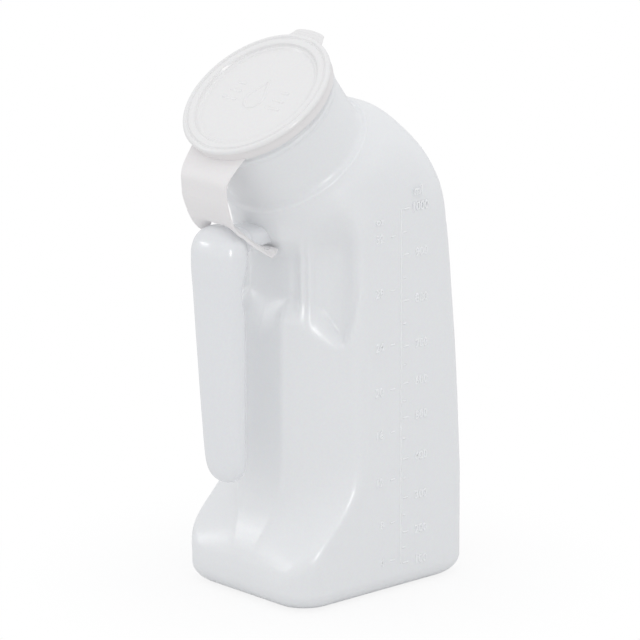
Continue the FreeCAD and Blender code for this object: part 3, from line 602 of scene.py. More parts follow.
def fill(verts, faces, rim_start, rings, height):
    """Close a row with concentric rings; height(s) is their z, s running from rim to middle 1 to 0.

    Returns the verts with the new ones added; the faces are added in place.
    """
    rim = verts[rim_start:rim_start + N_COL]
    centre = rim.mean(axis=0)
    base = len(verts)
    rows = []
    for k in range(1, rings):
        s = 1.0 - k / rings
        row = centre + (rim - centre) * s
        row[:, 2] = height(s)
        rows.append(row)
    verts = np.vstack([verts] + rows + [np.array([[centre[0], centre[1], height(0.0)]])])
    outer = rim_start
    for k in range(rings - 1):
        ring = base + k * N_COL
        for j in range(N_COL):
            n = (j + 1) % N_COL
            faces.append((outer + j, outer + n, ring + n, ring + j))
        outer = ring
    for j in range(N_COL):
        faces.append((outer + j, outer + (j + 1) % N_COL, len(verts) - 1))
    return verts


def build_bottle():
    body = [level_row(z) for z in level_heights()]
    body += [swing_row(LEAN_DEG * i / SWING_STEPS) for i in range(1, SWING_STEPS + 1)]
    # the first neck ring is the last shoulder section
    outer = body + [neck_row(*station) for station in catmull_rom(NECK_OUTSIDE, 4)[1:]]

    # the inside takes every third row and stops short of the collar
    inner_body = inward(body, WALL)
    inner = [inner_body[i] for i in range(0, len(body) - 5, 3)]
    inner[0][:, 2] = WALL
    inner += [np.array(neck_row(*station)) for station in NECK_INSIDE]

    skin = [np.array(row) for row in outer] + inner[::-1]
    verts = np.vstack(skin)
    faces = strip_faces(len(skin), N_COL)

    # both faces of the foot rise a little towards the middle
    def foot_rise(s):
        return smoothstep((0.9 - s) / 0.08)

    verts = fill(verts, faces, 0, 24, lambda s: 0.55 * foot_rise(s))
    verts = fill(verts, faces, (len(skin) - 1) * N_COL, 12, lambda s: WALL + 0.1 * foot_rise(s))
    bottle = add_object("bottle", verts, faces)
    fit(bottle, MAT_BOTTLE, "bottle_hdpe", "bottle_shell")
    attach(bottle, "bottle")


# ---------------------------------------------------------------------------
# Hook handle: one skin with its bridge
# ---------------------------------------------------------------------------
# height, centre y, half width, half thickness
HANDLE = [
    (54.0, -58.2, 2.2, 1.4), (54.6, -58.2, 4.6, 2.8), (56.1, -58.2, 7.0, 4.2),
    (58.9, -58.4, 9.2, 5.2), (63.5, -58.7, 10.3, 5.7), (69.0, -59.1, 10.6, 5.9),
    (80.0, -59.6, 10.9, 6.4), (93.0, -60.1, 11.3, 7.0), (110.0, -60.8, 11.7, 7.6),
    (125.0, -61.4, 12.1, 8.1), (141.0, -61.7, 12.9, 8.7), (150.0, -61.8, 13.4, 9.2),
    (156.5, -61.7, 13.5, 9.2), (161.0, -61.4, 12.7, 8.5), (164.5, -61.0, 10.6, 6.9),
    (166.7, -60.7, 7.8, 5.0), (167.9, -60.5, 4.6, 3.0), (168.4, -60.4, 2.0, 1.4),
]
HANDLE_POWER = 2 / 2.6                       # squareness of the handle's section
SEAT_DEPTH, SEAT_Z, SEAT_WIDTH = 4.2, 140.5, 8.5     # hollow on the side facing the bottle
# bridge between the handle and the front wall
BRIDGE_Z0, BRIDGE_Z1, BRIDGE_HALF = 157.0, 166.0, 8.6
BRIDGE_Y, BRIDGE_LENGTH = -59.0, 27.0
BRIDGE_POWER = 2 / 3.0
HANDLE_VOXEL = 0.00062                       # metres


def handle_row(z):
    centre_y, half_width, half_thick = interpolate(HANDLE, z)
    row = []
    for p in circle_angles(96):
        x = half_width * signed_power(math.sin(p), HANDLE_POWER)
        y = -half_thick * signed_power(math.cos(p), HANDLE_POWER)
        if y > 0:
            y -= SEAT_DEPTH * bell(z, SEAT_Z, SEAT_WIDTH) * (y / half_thick)
        row.append((x, centre_y + y, z))
    return row


def bridge_row(y):
    # wider where it leaves the handle and where it meets the wall
    flare = 1.9 * bell(y, -53.4, 2.2) + 1.8 * smoothstep((y + 38.0) / 5.0)
    half_width = BRIDGE_HALF + flare
    half_height = (BRIDGE_Z1 - BRIDGE_Z0) / 2 + 0.7 * flare
    centre_z = (BRIDGE_Z0 + BRIDGE_Z1) / 2 - 0.25 * flare
    return [(half_width * signed_power(math.cos(p), BRIDGE_POWER), y,
             centre_z + half_height * signed_power(math.sin(p), BRIDGE_POWER))
            for p in circle_angles(64)]


def build_handle():
    handle = closed_loft("handle", [handle_row(lerp(HANDLE[0][0], HANDLE[-1][0], i / 240))
                                    for i in range(241)])
    bridge = closed_loft("bridge_tmp", [bridge_row(BRIDGE_Y + BRIDGE_LENGTH * i / 60)
                                        for i in range(61)])
    bpy.context.view_layer.update()
    bm = bmesh.new()
    bm.from_mesh(handle.data)
    bm.from_mesh(bridge.data)
    bm.to_mesh(handle.data)
    bm.free()
    bpy.data.objects.remove(bridge)

    # melt the two into one skin and soften the joint
    remesh = handle.modifiers.new("remesh", "REMESH")
    remesh.mode = "VOXEL"
    remesh.voxel_size = HANDLE_VOXEL
    remesh.use_smooth_shade = True
    smooth = handle.modifiers.new("smooth", "SMOOTH")
    smooth.iterations = 7
    smooth.factor = 0.5
    depsgraph = bpy.context.evaluated_depsgraph_get()
    mesh = bpy.data.meshes.new_from_object(handle.evaluated_get(depsgraph))
    handle.modifiers.clear()
    old = handle.data
    handle.data = mesh
    bpy.data.meshes.remove(old)
    mesh.polygons.foreach_set("use_smooth", [True] * len(mesh.polygons))
    mesh.update()
    mesh.materials.clear()
    fit(handle, MAT_HANDLE, "handle_hdpe", "hook_handle")
    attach(handle, "bottle")


# ---------------------------------------------------------------------------
# Raised scale on the +X wall; +Y is to the reader's right
# ---------------------------------------------------------------------------
# heights of the 100 to 1000 ml marks
ML_Z = [12.3, 26.2, 41.8, 59.3, 77.8, 93.3, 109.9, 130.3, 150.7, 171.0]
ML_HEAD_Z, OZ_HEAD_Z = 178.2, 168.0
OZ_ML = 29.574                               # millilitres in an ounce
OZ_MARKS = range(4, 33, 4)
TICK_Y, TICK_END, HALF_TICK_END = 8.2, 11.6, 10.0
OZ_TICK_Y, OZ_TICK_END = 0.8, 3.6
TICK_HALF = 0.32                             # half width of a tick
SPINE_Y, SPINE_HALF = 6.95, 0.3              # upright line the ml ticks stand beside
# section of a rib: distance across in half widths, height above the wall
RIB_SECTION = [(-1.3, -0.3), (-1.25, 0.0), (-0.8, 0.14), (-0.35, 0.22),
               (0.35, 0.22), (0.8, 0.14), (1.25, 0.0), (1.3, -0.3)]
# taper at a rib's end: distance from the end in half widths, share of the full width
RIB_TAPER = [(0.0, 0.45), (0.12, 0.72), (0.5, 0.93)]


def mark_z(ml):
    """Height of the mark for a volume in millilitres, up to the last mark."""
    marks = [(0.0, WALL)] + [(100.0 * (i + 1), z) for i, z in enumerate(ML_Z)]
    for (v0, z0), (v1, z1) in zip(marks[:-1], marks[1:]):
        if ml <= v1:
            return lerp(z0, z1, (ml - v0) / (v1 - v0))


def raised_text(name, items):
    """Softly rounded figures from (text, left y, middle z, height, width factor)."""
    bm = bmesh.new()
    for text, y, z, height, narrow in items:
        curve = bpy.data.curves.new("figure", "FONT")
        curve.body = text
        curve.size = height * MM / 0.70      # capitals are 0.70 of the font size
        curve.resolution_u = 3
        curve.extrude = 0.00014
        curve.bevel_depth = 0.00013
        curve.bevel_resolution = 2
        curve.offset = 0.00002
        curve.space_character = 1.06
        figure = new_object("figure", curve)
        # text x -> +Y, text y -> +Z, text z -> +X
        figure.matrix_world = Matrix(((0, 0, 1, (HALF_WIDTH + 0.02) * MM),
                                      (narrow, 0, 0, y * MM),
                                      (0, 1, 0, (z - height / 2) * MM),
                                      (0, 0, 0, 1)))
        bpy.context.view_layer.update()
        depsgraph = bpy.context.evaluated_depsgraph_get()
        mesh = bpy.data.meshes.new_from_object(figure.evaluated_get(depsgraph))
        mesh.transform(figure.matrix_world)
        bm.from_mesh(mesh)
        bpy.data.meshes.remove(mesh)
        bpy.data.objects.remove(figure)
    mesh = bpy.data.meshes.new(name)
    tidy_into(bm, mesh, merge=2e-6, sharp_deg=50)
    return new_object(name, mesh)


def raised_bars(name, bars):
    """Low rounded ribs: (y0, z0, y1, z1) ends of each centre line, with a half width."""
    verts, faces = [], []
    for y0, z0, y1, z1, half in bars:
        length = math.hypot(y1 - y0, z1 - z0)
        ty, tz = (y1 - y0) / length, (z1 - z0) / length
        spans = max(2, int(length / 3.0))
        stations = [(d * half, w) for d, w in RIB_TAPER] + [(half, 1.0)]
        stations += [(half + (length - 2 * half) * i / spans, 1.0) for i in range(1, spans)]
        stations += [(length - half, 1.0)] + [(length - d * half, w) for d, w in RIB_TAPER[::-1]]
        base = len(verts)
        for s, w in stations:
            for across, height in RIB_SECTION:
                q = across * half * w
                if height >= 0:
                    height *= 0.35 + 0.65 * w
                verts.append((HALF_WIDTH + height, y0 + ty * s - tz * q, z0 + tz * s + ty * q))
        faces += strip_faces(len(stations), len(RIB_SECTION), base)
        faces += end_faces(len(stations), len(RIB_SECTION), base)
    return add_object(name, verts, faces, sharp_deg=60)


def build_scale():
    ml_items, bars = [], []
    for k, z in enumerate(ML_Z, 1):
        text = str(100 * k)
        ml_items.append((text, 13.0 if len(text) == 4 else 15.2, z, 3.8, 0.86))
        bars.append((TICK_Y, z, TICK_END, z, TICK_HALF))
        if k < len(ML_Z):
            half_z = mark_z(100.0 * k + 50)
            bars.append((TICK_Y, half_z, HALF_TICK_END, half_z, TICK_HALF))
    ml_items.append(("ml", 14.2, ML_HEAD_Z, 3.9, 0.9))
    bars.append((SPINE_Y, ML_Z[0], SPINE_Y, ML_Z[-1], SPINE_HALF))
    oz_items = []
    for ounces in OZ_MARKS:
        text = str(ounces)
        z = mark_z(OZ_ML * ounces)
        oz_items.append((text, -8.0 if len(text) == 2 else -5.0, z, 3.7, 0.86))
        bars.append((OZ_TICK_Y, z, OZ_TICK_END, z, TICK_HALF))
    oz_items.append(("oz", -7.8, OZ_HEAD_Z, 3.4, 0.9))

    for piece, cad_piece in (
        (raised_text("scale_ml", ml_items), "scale_numerals_ml"),
        (raised_text("scale_oz", oz_items), "scale_numerals_oz"),
        (raised_bars("scale_ticks_raised", bars), "scale_ticks"),
    ):
        fit(piece, MAT_MARK, "scale_marks", cad_piece)
        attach(piece, "bottle")


# ---------------------------------------------------------------------------
# Cap, with its emblem and pull tab
# ---------------------------------------------------------------------------
SKIRT_H, SKIRT_IN = 6.4, 33.2                # skirt's lower edge below the cap top, inner radius
FLOOR_H, FLOOR_R, FLOOR_DOME = 2.1, 26.0, 0.28   # sunken floor: depth, radius, rise in the middle
FLOOR_WAVE, FLOOR_WAVE_LENGTH = 0.22, 17.0   # the thin floor isn't quite flat
RIM_ROUND = 1.45                             # radius of the rounded rim
N_CAP = 240


def arc(centre_r, centre_depth, radius, start, end, n):
    """Arc of a profile in (radius, depth); angles in degrees, 0 = outwards, 90 = up."""
    angles = [math.radians(start + (end - start) * i / n) for i in range(n + 1)]
    return [(centre_r + radius * math.cos(a), centre_depth - radius * math.sin(a))
            for a in angles]


def floor_dome(r):
    """Depth of the floor without its waves."""
    return FLOOR_H - FLOOR_DOME * (1 - (r / FLOOR_R) ** 2)


def floor_wave(x, back, r):
    q = noise.noise(Vector((x / FLOOR_WAVE_LENGTH, back / FLOOR_WAVE_LENGTH, 3.7)))
    return FLOOR_WAVE * q * (1 - (r / FLOOR_R) ** 2)


def floor_depth(x, back):
    r = math.hypot(x, back)
    return floor_dome(r) + floor_wave(x, back, r)


# from the middle of the floor over the rim, down the skirt and back underneath: radius, depth
CAP_PROFILE = [
    *((r, floor_dome(r)) for r in (0.0, 1.5, 3.0, 5.0, 7.0, 9.0, 11.0, 13.0, 15.0, 17.0, 19.0,
                                   21.0, 22.5, 24.0, 25.0, 25.8)),
    # two beads and the inner wall
    (26.3, 2.16), (26.7, 2.22), (27.1, 2.12), (27.4, 1.86), (27.65, 1.62), (27.95, 1.48),
    (28.25, 1.50), (28.5, 1.58), (28.75, 1.52), (28.95, 1.2), (29.1, 0.75), (29.3, 0.40),
    (29.65, 0.18), (30.1, 0.09), (30.8, 0.06),
    # groove in the top of the rim
    (31.6, 0.06), (31.9, 0.10), (32.1, 0.36), (32.3, 0.62), (32.55, 0.70), (32.8, 0.60),
    (33.0, 0.32), (33.2, 0.06), (33.5, 0.0),
    *arc(LID_R - RIM_ROUND, RIM_ROUND, RIM_ROUND, 88, -20, 14),
    # skirt
    (34.78, 2.22), (34.55, 2.48), (34.3, 2.66), (34.15, 2.95), (34.1, 3.4), (34.1, 4.2),
    (34.1, 5.1), (34.1, 5.85),
    *arc(33.8, SKIRT_H - 0.3, 0.3, 0, -90, 4),
    (33.6, SKIRT_H), (33.4, SKIRT_H - 0.05), (33.25, SKIRT_H - 0.2), (SKIRT_IN, SKIRT_H - 0.5),
    (SKIRT_IN, 4.6), (SKIRT_IN, 3.0), (SKIRT_IN, 2.0),
    # underside
    (33.05, 1.62), (32.6, 1.5), (31.6, 1.5), (30.6, 1.5), (29.9, 1.5), (29.5, 1.62),
    (29.0, 2.0), (28.3, 2.6), (27.6, 3.1), (26.0, 3.12), (22.0, 3.1), (16.0, 3.1), (10.0, 3.1),
    (5.0, 3.1), (0.0, 3.1),
]


def build_cap():
    verts, faces, rows = [], [], []
    for r, depth in CAP_PROFILE:
        start = len(verts)
        if r == 0.0:
            verts.append(neck_point(0.0, 0.0, depth))
        else:
            on_floor = r < FLOOR_R and depth < 2.5
            for p in circle_angles(N_CAP):
                x, back = r * math.sin(p), -r * math.cos(p)
                wave = floor_wave(x, back, r) if on_floor else 0.0
                verts.append(neck_point(x, back, depth + wave))
        rows.append(range(start, len(verts)))
    for a, b in zip(rows[:-1], rows[1:]):
        for j in range(N_CAP):
            k = (j + 1) % N_CAP
            if len(a) == 1:
                faces.append((a[0], b[j], b[k]))
            elif len(b) == 1:
                faces.append((a[j], b[0], a[k]))
            else:
                faces.append((a[j], b[j], b[k], a[k]))
    cap = add_object("cap", verts, faces)
    fit(cap, MAT_CAP, "cap_ldpe", "cap_lid")
    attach(cap, "cap")


EMBLEM_HEIGHT = 0.36
# section of a ridge: distance across in half widths, share of the height
RIDGE_SECTION = [(-1.15, -0.35), (-1.1, 0.0), (-0.7, 0.55), (-0.3, 0.9),
                 (0.3, 0.9), (0.7, 0.55), (1.1, 0.0), (1.15, -0.35)]
RIDGE_TAPER = (0.45, 0.75, 0.93, 1.0)        # share of the width at the first points of an open one
# drop outline: radius and centre of its round end, its point, half width of the ridge
DROP_R, DROP_BACK, DROP_TIP, DROP_HALF = 4.8, -2.0, 8.6, 0.75
# short bars either side of the drop: place towards the back, length
EMBLEM_BARS = [(-4.5, 9.0), (0.0, 7.0), (4.5, 5.0)]
EMBLEM_BAR_X, EMBLEM_BAR_HALF = 13.5, 0.65


def add_ridge(verts, faces, path, half, closed):
    """Low rounded ridge on the cap floor along a path of (x, back) points."""
    n = len(path)
    base = len(verts)
    for i, (x, back) in enumerate(path):
        before = path[(i - 1) % n] if closed or i > 0 else path[i]
        after = path[(i + 1) % n] if closed or i < n - 1 else path[i]
        tx, ty = after[0] - before[0], after[1] - before[1]
        length = math.hypot(tx, ty)
        nx, ny = -ty / length, tx / length
        w = 1.0 if closed else RIDGE_TAPER[min(i, n - 1 - i, 3)]
        for across, rise in RIDGE_SECTION:
            px, py = x + nx * across * half * w, back + ny * across * half * w
            height = rise * EMBLEM_HEIGHT * (w if rise > 0 else 1.0)
            verts.append(neck_point(px, py, floor_depth(px, py) - height))
    faces += strip_faces(n, len(RIDGE_SECTION), base, closed)
    if not closed:
        faces += end_faces(n, len(RIDGE_SECTION), base)


def drop_path():
    """Round end at the front, drawn out to a point towards the back."""
    tangent = math.acos(DROP_R / (DROP_TIP - DROP_BACK))
    path = []
    for i in range(25):
        a = math.pi / 2 - tangent - (2 * math.pi - 2 * tangent) * i / 24
        path.append((DROP_R * math.cos(a), DROP_BACK + DROP_R * math.sin(a)))
    first, last = path[0], path[-1]

    def beside_tip(p):
        return (math.copysign(0.25, p[0]), DROP_TIP - 0.3)

    def between(a, b):
        return [(lerp(a[0], b[0], i / 9), lerp(a[1], b[1], i / 9)) for i in range(1, 9)]

    path += between(last, beside_tip(last))
    path.append((0.0, DROP_TIP))
    return path + between(beside_tip(first), first)


def build_emblem():
    verts, faces = [], []
    add_ridge(verts, faces, drop_path(), DROP_HALF, closed=True)
    for side in (-1, 1):
        for back, length in EMBLEM_BARS:
            x0 = side * EMBLEM_BAR_X - length / 2
            x1 = side * EMBLEM_BAR_X + length / 2
            xs = [x0, x0 + 0.12, x0 + 0.35, x0 + 0.7]
            xs += [x0 + 0.7 + (length - 1.4) * i / 6 for i in range(1, 6)]
            xs += [x1 - 0.7, x1 - 0.35, x1 - 0.12, x1]
            add_ridge(verts, faces, [(x, back) for x in xs], EMBLEM_BAR_HALF, closed=False)
    emblem = add_object("cap_emblem_raised", verts, faces, sharp_deg=75)
    fit(emblem, MAT_CAP, "cap_ldpe", "cap_emblem")
    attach(emblem, "cap")


TAB_ROOT, TAB_LENGTH = 33.4, 5.7             # start of the tab from the neck axis, and its length
TAB_HALF, TAB_NARROWING = 10.8, 2.4          # half width at the root, loss towards the end
TAB_STRAIGHT = 0.66                          # share of the outline before its rounded end
TAB_HALF_THICK, TAB_DEPTH = 0.42, 2.05       # half thickness, middle below the cap top
GRIP_HEIGHT, GRIP_PITCH, GRIP_BACK = 0.16, 1.4, 36.0     # grip ribs; one lies at GRIP_BACK
N_TAB = 40


def tab_half_width(back):
    t = (back - 33.0) / 6.1
    if t < TAB_STRAIGHT:
        return TAB_HALF - TAB_NARROWING * smoothstep(t)
    rounding = math.sqrt(max(0.0, 1 - ((t - TAB_STRAIGHT) / 0.345) ** 2.4))
    return (TAB_HALF - TAB_NARROWING * smoothstep(TAB_STRAIGHT)) * rounding


def build_tab():
    """Thin rounded tab at the back of the cap, with two grip ribs."""
    stations = [TAB_ROOT + TAB_LENGTH * (1 - (1 - i / 26) ** 1.7) for i in range(27)]
    verts = []
    for back in stations:
        half = max(0.25, tab_half_width(back))
        for p in circle_angles(N_TAB):
            x = half * signed_power(math.cos(p), 0.22)
            depth = TAB_DEPTH - TAB_HALF_THICK * signed_power(math.sin(p), 0.5)
            if math.sin(p) > 0.3 and abs(x) < half - 1.4 and 35.6 < back < 38.2:
                phase = (back - GRIP_BACK) * 2 * math.pi / GRIP_PITCH
                depth -= GRIP_HEIGHT * max(0.0, math.cos(phase))
            verts.append(neck_point(x, back, depth))
    faces = strip_faces(len(stations), N_TAB) + end_faces(len(stations), N_TAB)
    tab = add_object("pull_tab_thin", verts, faces, sharp_deg=70)
    fit(tab, MAT_CAP, "cap_ldpe", "pull_tab")
    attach(tab, "cap")


# ---------------------------------------------------------------------------
# Strap and tether ring: one sheet along a curve in the YZ plane. s is the distance along its
# centre line: below 0 is the ring, above 0 the strap up to the cap.
# ---------------------------------------------------------------------------
HALF_THICK = 1.3 / 2                         # half thickness of the sheet
# s, y, z, half width
STRAP = [
    (0.0, -63.2, 171.7, 9.5), (4.2, -66.5, 174.2, 12.2), (8.6, -69.2, 177.6, 13.8),
    (13.8, -71.2, 182.4, 14.0), (18.9, -71.8, 187.4, 14.2), (23.9, -71.0, 192.3, 15.2),
    (28.9, -69.3, 197.0, 16.4), (33.0, -67.6, 200.7, 17.4),
]
STRAP_MIN_HALF = 13.9
BEND = 2.2                                   # the bend into the ring reaches this far either side
FLEX_LOW, FLEX_TOP = 13.2, 28.3              # middles of the strap's joints
CUT_LOW, CUT_HIGH = 6.6, 20.7                # where the sheet is cut into three pieces
WRAP_START, STRAP_END = 19.5, 31.7           # the strap curves round the skirt between these
WRAP_R, WRAP_DEPTH = 33.95, 5.75             # where it ends on the skirt

RING_START_Y, RING_START_Z = -63.2, 171.62
RING_TILT = math.radians(-33.0)
RING_DY, RING_DZ = math.cos(RING_TILT), math.sin(RING_TILT)  # along the ring, to the bottle
RING_IN_HALF, RING_IN_LENGTH = 12.3, 13.0    # half width and half length of the hole
RING_BAND = 3.2
RING_POWER = 2.7                             # squareness of the ring
RING_CENTRE = -(RING_IN_LENGTH + RING_BAND) + 0.1
N_RING, RING_RUN, EDGE_STEPS = 200, 14, 6    # sections, steps across the band, round an edge
BAND_RUN = 22                                # steps across the strap


def centre(s):
    """(y, z) of the centre line; below 0 it runs into the plane of the ring."""
    if s <= -BEND:
        return RING_START_Y - RING_DY * s, RING_START_Z - RING_DZ * s
    if s >= BEND:
        return tuple(interpolate(STRAP, s)[:2])
    t = (s + BEND) / (2 * BEND)
    start, end = centre(-BEND), centre(BEND)
    beyond = centre(BEND + 0.05)
    dy, dz = beyond[0] - end[0], beyond[1] - end[1]
    length = math.hypot(dy, dz)
    start_dir, end_dir = (-RING_DY, -RING_DZ), (dy / length, dz / length)
    h00, h10 = 2 * t**3 - 3 * t**2 + 1, t**3 - 2 * t**2 + t
    h01, h11 = -2 * t**3 + 3 * t**2, t**3 - t**2
    return tuple(h00 * start[i] + h10 * 2 * BEND * start_dir[i]
                 + h01 * end[i] + h11 * 2 * BEND * end_dir[i] for i in (0, 1))


def droop(x, s):
    """How far the sheet hangs below its centre line, mostly at its edges beside the handle."""
    along = smoothstep((s + 30.0) / 9.0) * (1.0 - smoothstep((s + 3.0) / 13.0))
    t = max(0.0, min(1.0, (abs(x) - 4.0) / 11.0))
    edges = (7.0 if x < 0 else 5.5) * along * t * t * (1.6 - 0.6 * t)
    return edges + 1.7 * (1.0 - t) * bell(s, 1.5, 3.5)


def flat_sheet(x, s, off):
    """Point on the sheet before it curves round the skirt."""
    y, z = centre(s)
    y1, z1 = centre(s - 0.03)
    y2, z2 = centre(s + 0.03)
    ty, tz = y2 - y1, z2 - z1
    length = math.hypot(ty, tz)
    y += 1.5 * bell(s, 17.0, 9.0)
    return (x, y - tz / length * off, z + ty / length * off - droop(x, s))


def sheet(x, s, off):
    """Point on the sheet, off above its middle on the outer side."""
    p = flat_sheet(x, s, off)
    if s <= WRAP_START:
        return p
    t = (s - WRAP_START) / (STRAP_END - WRAP_START)
    share = t * t * (1.9 - 0.9 * t)
    end = flat_sheet(x, STRAP_END, off)
    on_skirt = neck_point(x, -math.sqrt((WRAP_R + off) ** 2 - x * x), WRAP_DEPTH)
    return tuple(p[i] + share * (on_skirt[i] - end[i]) for i in range(3))


def half_width(s):
    return max(STRAP_MIN_HALF, interpolate(STRAP, s)[2]) + 0.5 * bell(s, 12.0, 6.0)


def strap_side(s):
    """Half width of the strap below the lower cut, easing into the ring."""
    t = (CUT_LOW - s) / 12.0
    return half_width(CUT_LOW) - 1.1 * math.sin(min(1.0, t) * math.pi / 2)


def rounded_edge(start, n=EDGE_STEPS):
    """Inner points of a half circle from the angle start, turning clockwise."""
    angles = [start - math.pi * i / n for i in range(1, n)]
    return [(HALF_THICK * math.cos(a), HALF_THICK * math.sin(a)) for a in angles]


def eased(n):
    """n + 1 values from 0 to 1, closer together at the ends."""
    return [0.5 - 0.5 * math.cos(math.pi * i / n) for i in range(n + 1)]


def band_section(half):
    """Section of the strap, (x, off): over the top, round an edge, back below, round an edge."""
    inner = half - HALF_THICK
    xs = [-inner + 2 * inner * u for u in eased(BAND_RUN)]
    return ([(x, HALF_THICK) for x in xs]
            + [(inner + x, off) for x, off in rounded_edge(math.pi / 2)]
            + [(x, -HALF_THICK) for x in xs[::-1]]
            + [(-inner + x, off) for x, off in rounded_edge(-math.pi / 2)])


def strap_band(name, start, end):
    n = int((end - start) / 0.25)
    verts = []
    for i in range(n + 1):
        s = lerp(start, end, i / n)
        section = band_section(half_width(s))
        verts += [sheet(x, s, off) for x, off in section]
    size = len(section)
    faces = strip_faces(n + 1, size)
    # ends: quads between the upper and the lower run, one polygon at each rounded edge
    low = BAND_RUN + EDGE_STEPS
    high = low + BAND_RUN
    for base in (0, n * size):
        for i in range(BAND_RUN):
            faces.append((base + i, base + i + 1, base + high - i - 1, base + high - i))
        faces.append(tuple(range(base + BAND_RUN, base + low + 1)))
        faces.append((base,) + tuple(range(base + high, base + size)))
    return add_object(name, verts, faces, sharp_deg=60)


def superellipse(dx, ds, a, b):
    """Distance from the centre to the edge along (dx, ds)."""
    return (abs(dx / a) ** RING_POWER + abs(ds / b) ** RING_POWER) ** (-1 / RING_POWER)


def outer_reach(dx, ds):
    """Distance from the ring's centre to the outline of the lowest piece."""
    reach = superellipse(dx, ds, RING_IN_HALF + RING_BAND, RING_IN_LENGTH + RING_BAND)
    if ds <= 0.3:
        return reach
    # march outwards while inside the strap, up to the cut across it
    r = reach
    while r < 40:
        x, s = r * dx, RING_CENTRE + r * ds
        if s > CUT_LOW:
            r = (CUT_LOW - RING_CENTRE) / ds
            break
        if (s > -6 or r > reach) and abs(x) > strap_side(s):
            break
        r += 0.02
    return max(reach, r)


def ring_section(dx, ds):
    """Section of the ring, (distance from its centre, off), from the hole outwards and back."""
    hole = superellipse(dx, ds, RING_IN_HALF, RING_IN_LENGTH) + HALF_THICK
    reach = outer_reach(dx, ds)
    at_cut = ds > 0 and abs(RING_CENTRE + reach * ds - CUT_LOW) < 1e-6
    if at_cut:
        edge = reach
        outside = [(edge, HALF_THICK * (1 - 2 * i / EDGE_STEPS)) for i in range(1, EDGE_STEPS)]
    else:
        edge = reach - HALF_THICK
        outside = [(edge + r, off) for r, off in rounded_edge(math.pi / 2)]
    return ([(lerp(hole, edge, u), HALF_THICK) for u in eased(RING_RUN)]
            + outside
            + [(lerp(edge, hole, u), -HALF_THICK) for u in eased(RING_RUN)]
            + [(hole + r, off) for r, off in rounded_edge(-math.pi / 2)])


def strap_ring(name):
    """The ring and the foot of the strap, as a closed loop of sections round the hole."""
    verts = []
    for j in range(N_RING):
        angle = -math.pi + 2 * math.pi * j / N_RING
        dx, ds = math.sin(angle), math.cos(angle)
        section = ring_section(dx, ds)
        verts += [sheet(r * dx, RING_CENTRE + r * ds, off) for r, off in section]
    return add_object(name, verts, strip_faces(N_RING, len(section), closed=True), sharp_deg=60)


def centre_metres(s):
    y, z = centre(s)
    return (0.0, y * MM, z * MM)


def build_strap():
    ring = strap_ring("strap_ring")
    middle = strap_band("strap_middle", CUT_LOW, CUT_HIGH)
    top = strap_band("strap_top", CUT_HIGH, STRAP_END)
    fit(ring, MAT_STRAP, "strap_ldpe", "tether_ring", "strap_lower")
    fit(middle, MAT_STRAP, "strap_ldpe", "strap_upper")
    fit(top, MAT_STRAP, "strap_ldpe", "strap_cap_root")
    centre_metres(-2.0)
    centre_metres(4.0)
    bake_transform(ring)
    centre_metres(FLEX_LOW - 5.5)
    centre_metres(FLEX_LOW + 5.5)
    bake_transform(middle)
    centre_metres(FLEX_TOP - 4.0)
    centre_metres(FLEX_TOP + 4.0)
    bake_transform(top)


# ---------------------------------------------------------------------------
# Floor, world, lights, camera (metres)
# ---------------------------------------------------------------------------
FLOOR_HALF, FLOOR_Z = 6, -0.0003
LIGHT_AIM = Vector((0, 0, 0.12))
CAMERA_AIM = Vector((-0.00424, 0.0, 0.11417))
CAMERA_AZIMUTH, CAMERA_ELEVATION = 47.73, 15.67
CAMERA_DISTANCE, CAMERA_LENS = 2.9167, 378.2


def direction(azimuth, elevation):
    """Unit vector; azimuth 0 is the front, turning towards +X, in degrees."""
    a, e = math.radians(azimuth), math.radians(elevation)
    return Vector((math.sin(a) * math.cos(e), -math.cos(a) * math.cos(e), math.sin(e)))


def add_mix_shader(tree, factor, first, second):
    node = add_node(tree, "ShaderNodeMixShader")
    for socket, source in enumerate((factor, first, second)):
        tree.links.new(source, node.inputs[socket])
    return node.outputs[0]


def floor_material():
    """Lit floor near the foot that fades to a white sweep; other rays see plain grey."""
    material = bpy.data.materials.new("pale_floor")
    material.use_nodes = True
    tree = material.node_tree
    tree.nodes.clear()
    link = tree.links.new
    output = add_node(tree, "ShaderNodeOutputMaterial")
    coords = add_node(tree, "ShaderNodeTexCoord").outputs["Object"]
    patches = add_noise(tree, coords, scale=3.0)
    near = add_node(tree, "ShaderNodeBsdfDiffuse")
    link(add_ramp(tree, patches.outputs["Fac"], first=(0.0, (0.93, 0.93, 0.935)),
                  last=(1.0, (0.95, 0.95, 0.955))), near.inputs["Color"])
    white = add_node(tree, "ShaderNodeEmission", {"Strength": 1.0})
    bounce = add_node(tree, "ShaderNodeBsdfDiffuse", {"Color": (0.82, 0.82, 0.82, 1)})
    distance = add_node(tree, "ShaderNodeVectorMath", operation="LENGTH")
    link(coords, distance.inputs[0])
    whiteness = add_range(tree, distance.outputs["Value"], from_min=0.045, from_max=0.15,
                          to_min=0.84, to_max=1.0, interpolation_type="SMOOTHSTEP")
    seen = add_mix_shader(tree, whiteness, near.outputs[0], white.outputs[0])
    camera_ray = add_node(tree, "ShaderNodeLightPath").outputs["Is Camera Ray"]
    link(add_mix_shader(tree, camera_ray, bounce.outputs[0], seen), output.inputs["Surface"])
    return material


def build_floor():
    h = FLOOR_HALF
    mesh = bpy.data.meshes.new("studio_floor")
    mesh.from_pydata([(-h, -h, FLOOR_Z), (h, -h, FLOOR_Z), (h, h, FLOOR_Z), (-h, h, FLOOR_Z)],
                     [], [(0, 1, 2, 3)])
    floor = new_object("studio_floor", mesh)
    mesh.materials.append(floor_material())


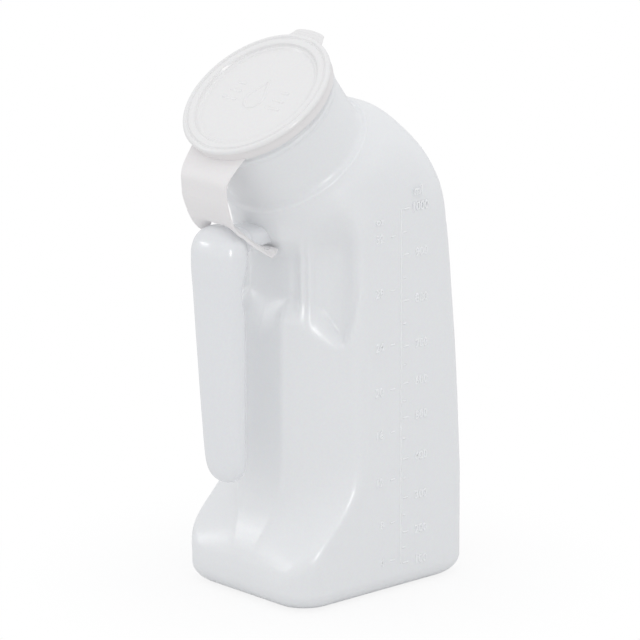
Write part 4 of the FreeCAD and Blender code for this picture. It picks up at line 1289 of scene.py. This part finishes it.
def build_world():
    """White to the camera, slightly dimmer and cooler as a light."""
    world = bpy.data.worlds.new("studio")
    bpy.context.scene.world = world
    world.use_nodes = True
    tree = world.node_tree
    tree.nodes.clear()
    output = add_node(tree, "ShaderNodeOutputWorld")
    seen = add_node(tree, "ShaderNodeBackground", {"Color": (1, 1, 1, 1), "Strength": 1.02})
    light = add_node(tree, "ShaderNodeBackground",
                     {"Color": (0.985, 0.99, 1.0, 1), "Strength": 0.84})
    camera_ray = add_node(tree, "ShaderNodeLightPath").outputs["Is Camera Ray"]
    tree.links.new(add_mix_shader(tree, camera_ray, light.outputs[0], seen.outputs[0]),
                   output.inputs[0])


def softbox(name, azimuth, elevation, distance, size, watts, highlight=False):
    """Area light aimed at the bottle; a highlight shows only in reflections, a fill never."""
    light = bpy.data.lights.new(name, "AREA")
    light.shape = "RECTANGLE"
    light.size, light.size_y = size
    light.energy = watts
    ob = new_object(name, light)
    towards = direction(azimuth, elevation)
    ob.location = LIGHT_AIM + towards * distance
    ob.rotation_euler = (-towards).to_track_quat("-Z", "Y").to_euler()
    ob.visible_diffuse = not highlight
    ob.visible_glossy = highlight


def build_lights():
    softbox("top_fill", azimuth=66, elevation=74, distance=1.8, size=(1.6, 1.6), watts=4.4)
    softbox("left_fill", azimuth=-35, elevation=25, distance=1.8, size=(1.4, 1.4), watts=1.1)
    softbox("front_fill", azimuth=45, elevation=0, distance=1.9, size=(1.0, 1.0), watts=1.4)
    softbox("left_strip", azimuth=-50, elevation=17, distance=1.8, size=(0.11, 0.20), watts=2.5,
            highlight=True)
    softbox("right_strip", azimuth=70, elevation=15, distance=1.8, size=(0.07, 0.24), watts=7.5,
            highlight=True)


def build_camera():
    scene = bpy.context.scene
    data = bpy.data.cameras.new("camera")
    data.sensor_width = 36.0
    data.lens = CAMERA_LENS
    data.clip_start, data.clip_end = 0.1, 50.0
    camera = new_object("camera", data)
    towards = direction(CAMERA_AZIMUTH, CAMERA_ELEVATION)
    camera.location = CAMERA_AIM + towards * CAMERA_DISTANCE
    camera.rotation_mode = "QUATERNION"
    camera.rotation_quaternion = (-towards).to_track_quat("-Z", "Y")
    scene.camera = camera
    scene.view_settings.view_transform = "Standard"
    scene.view_settings.look = "None"


build_bottle()
build_handle()
build_scale()
build_cap()
build_emblem()
build_tab()
build_strap()
build_floor()
build_world()
build_lights()
build_camera()

bpy.context.view_layer.update()
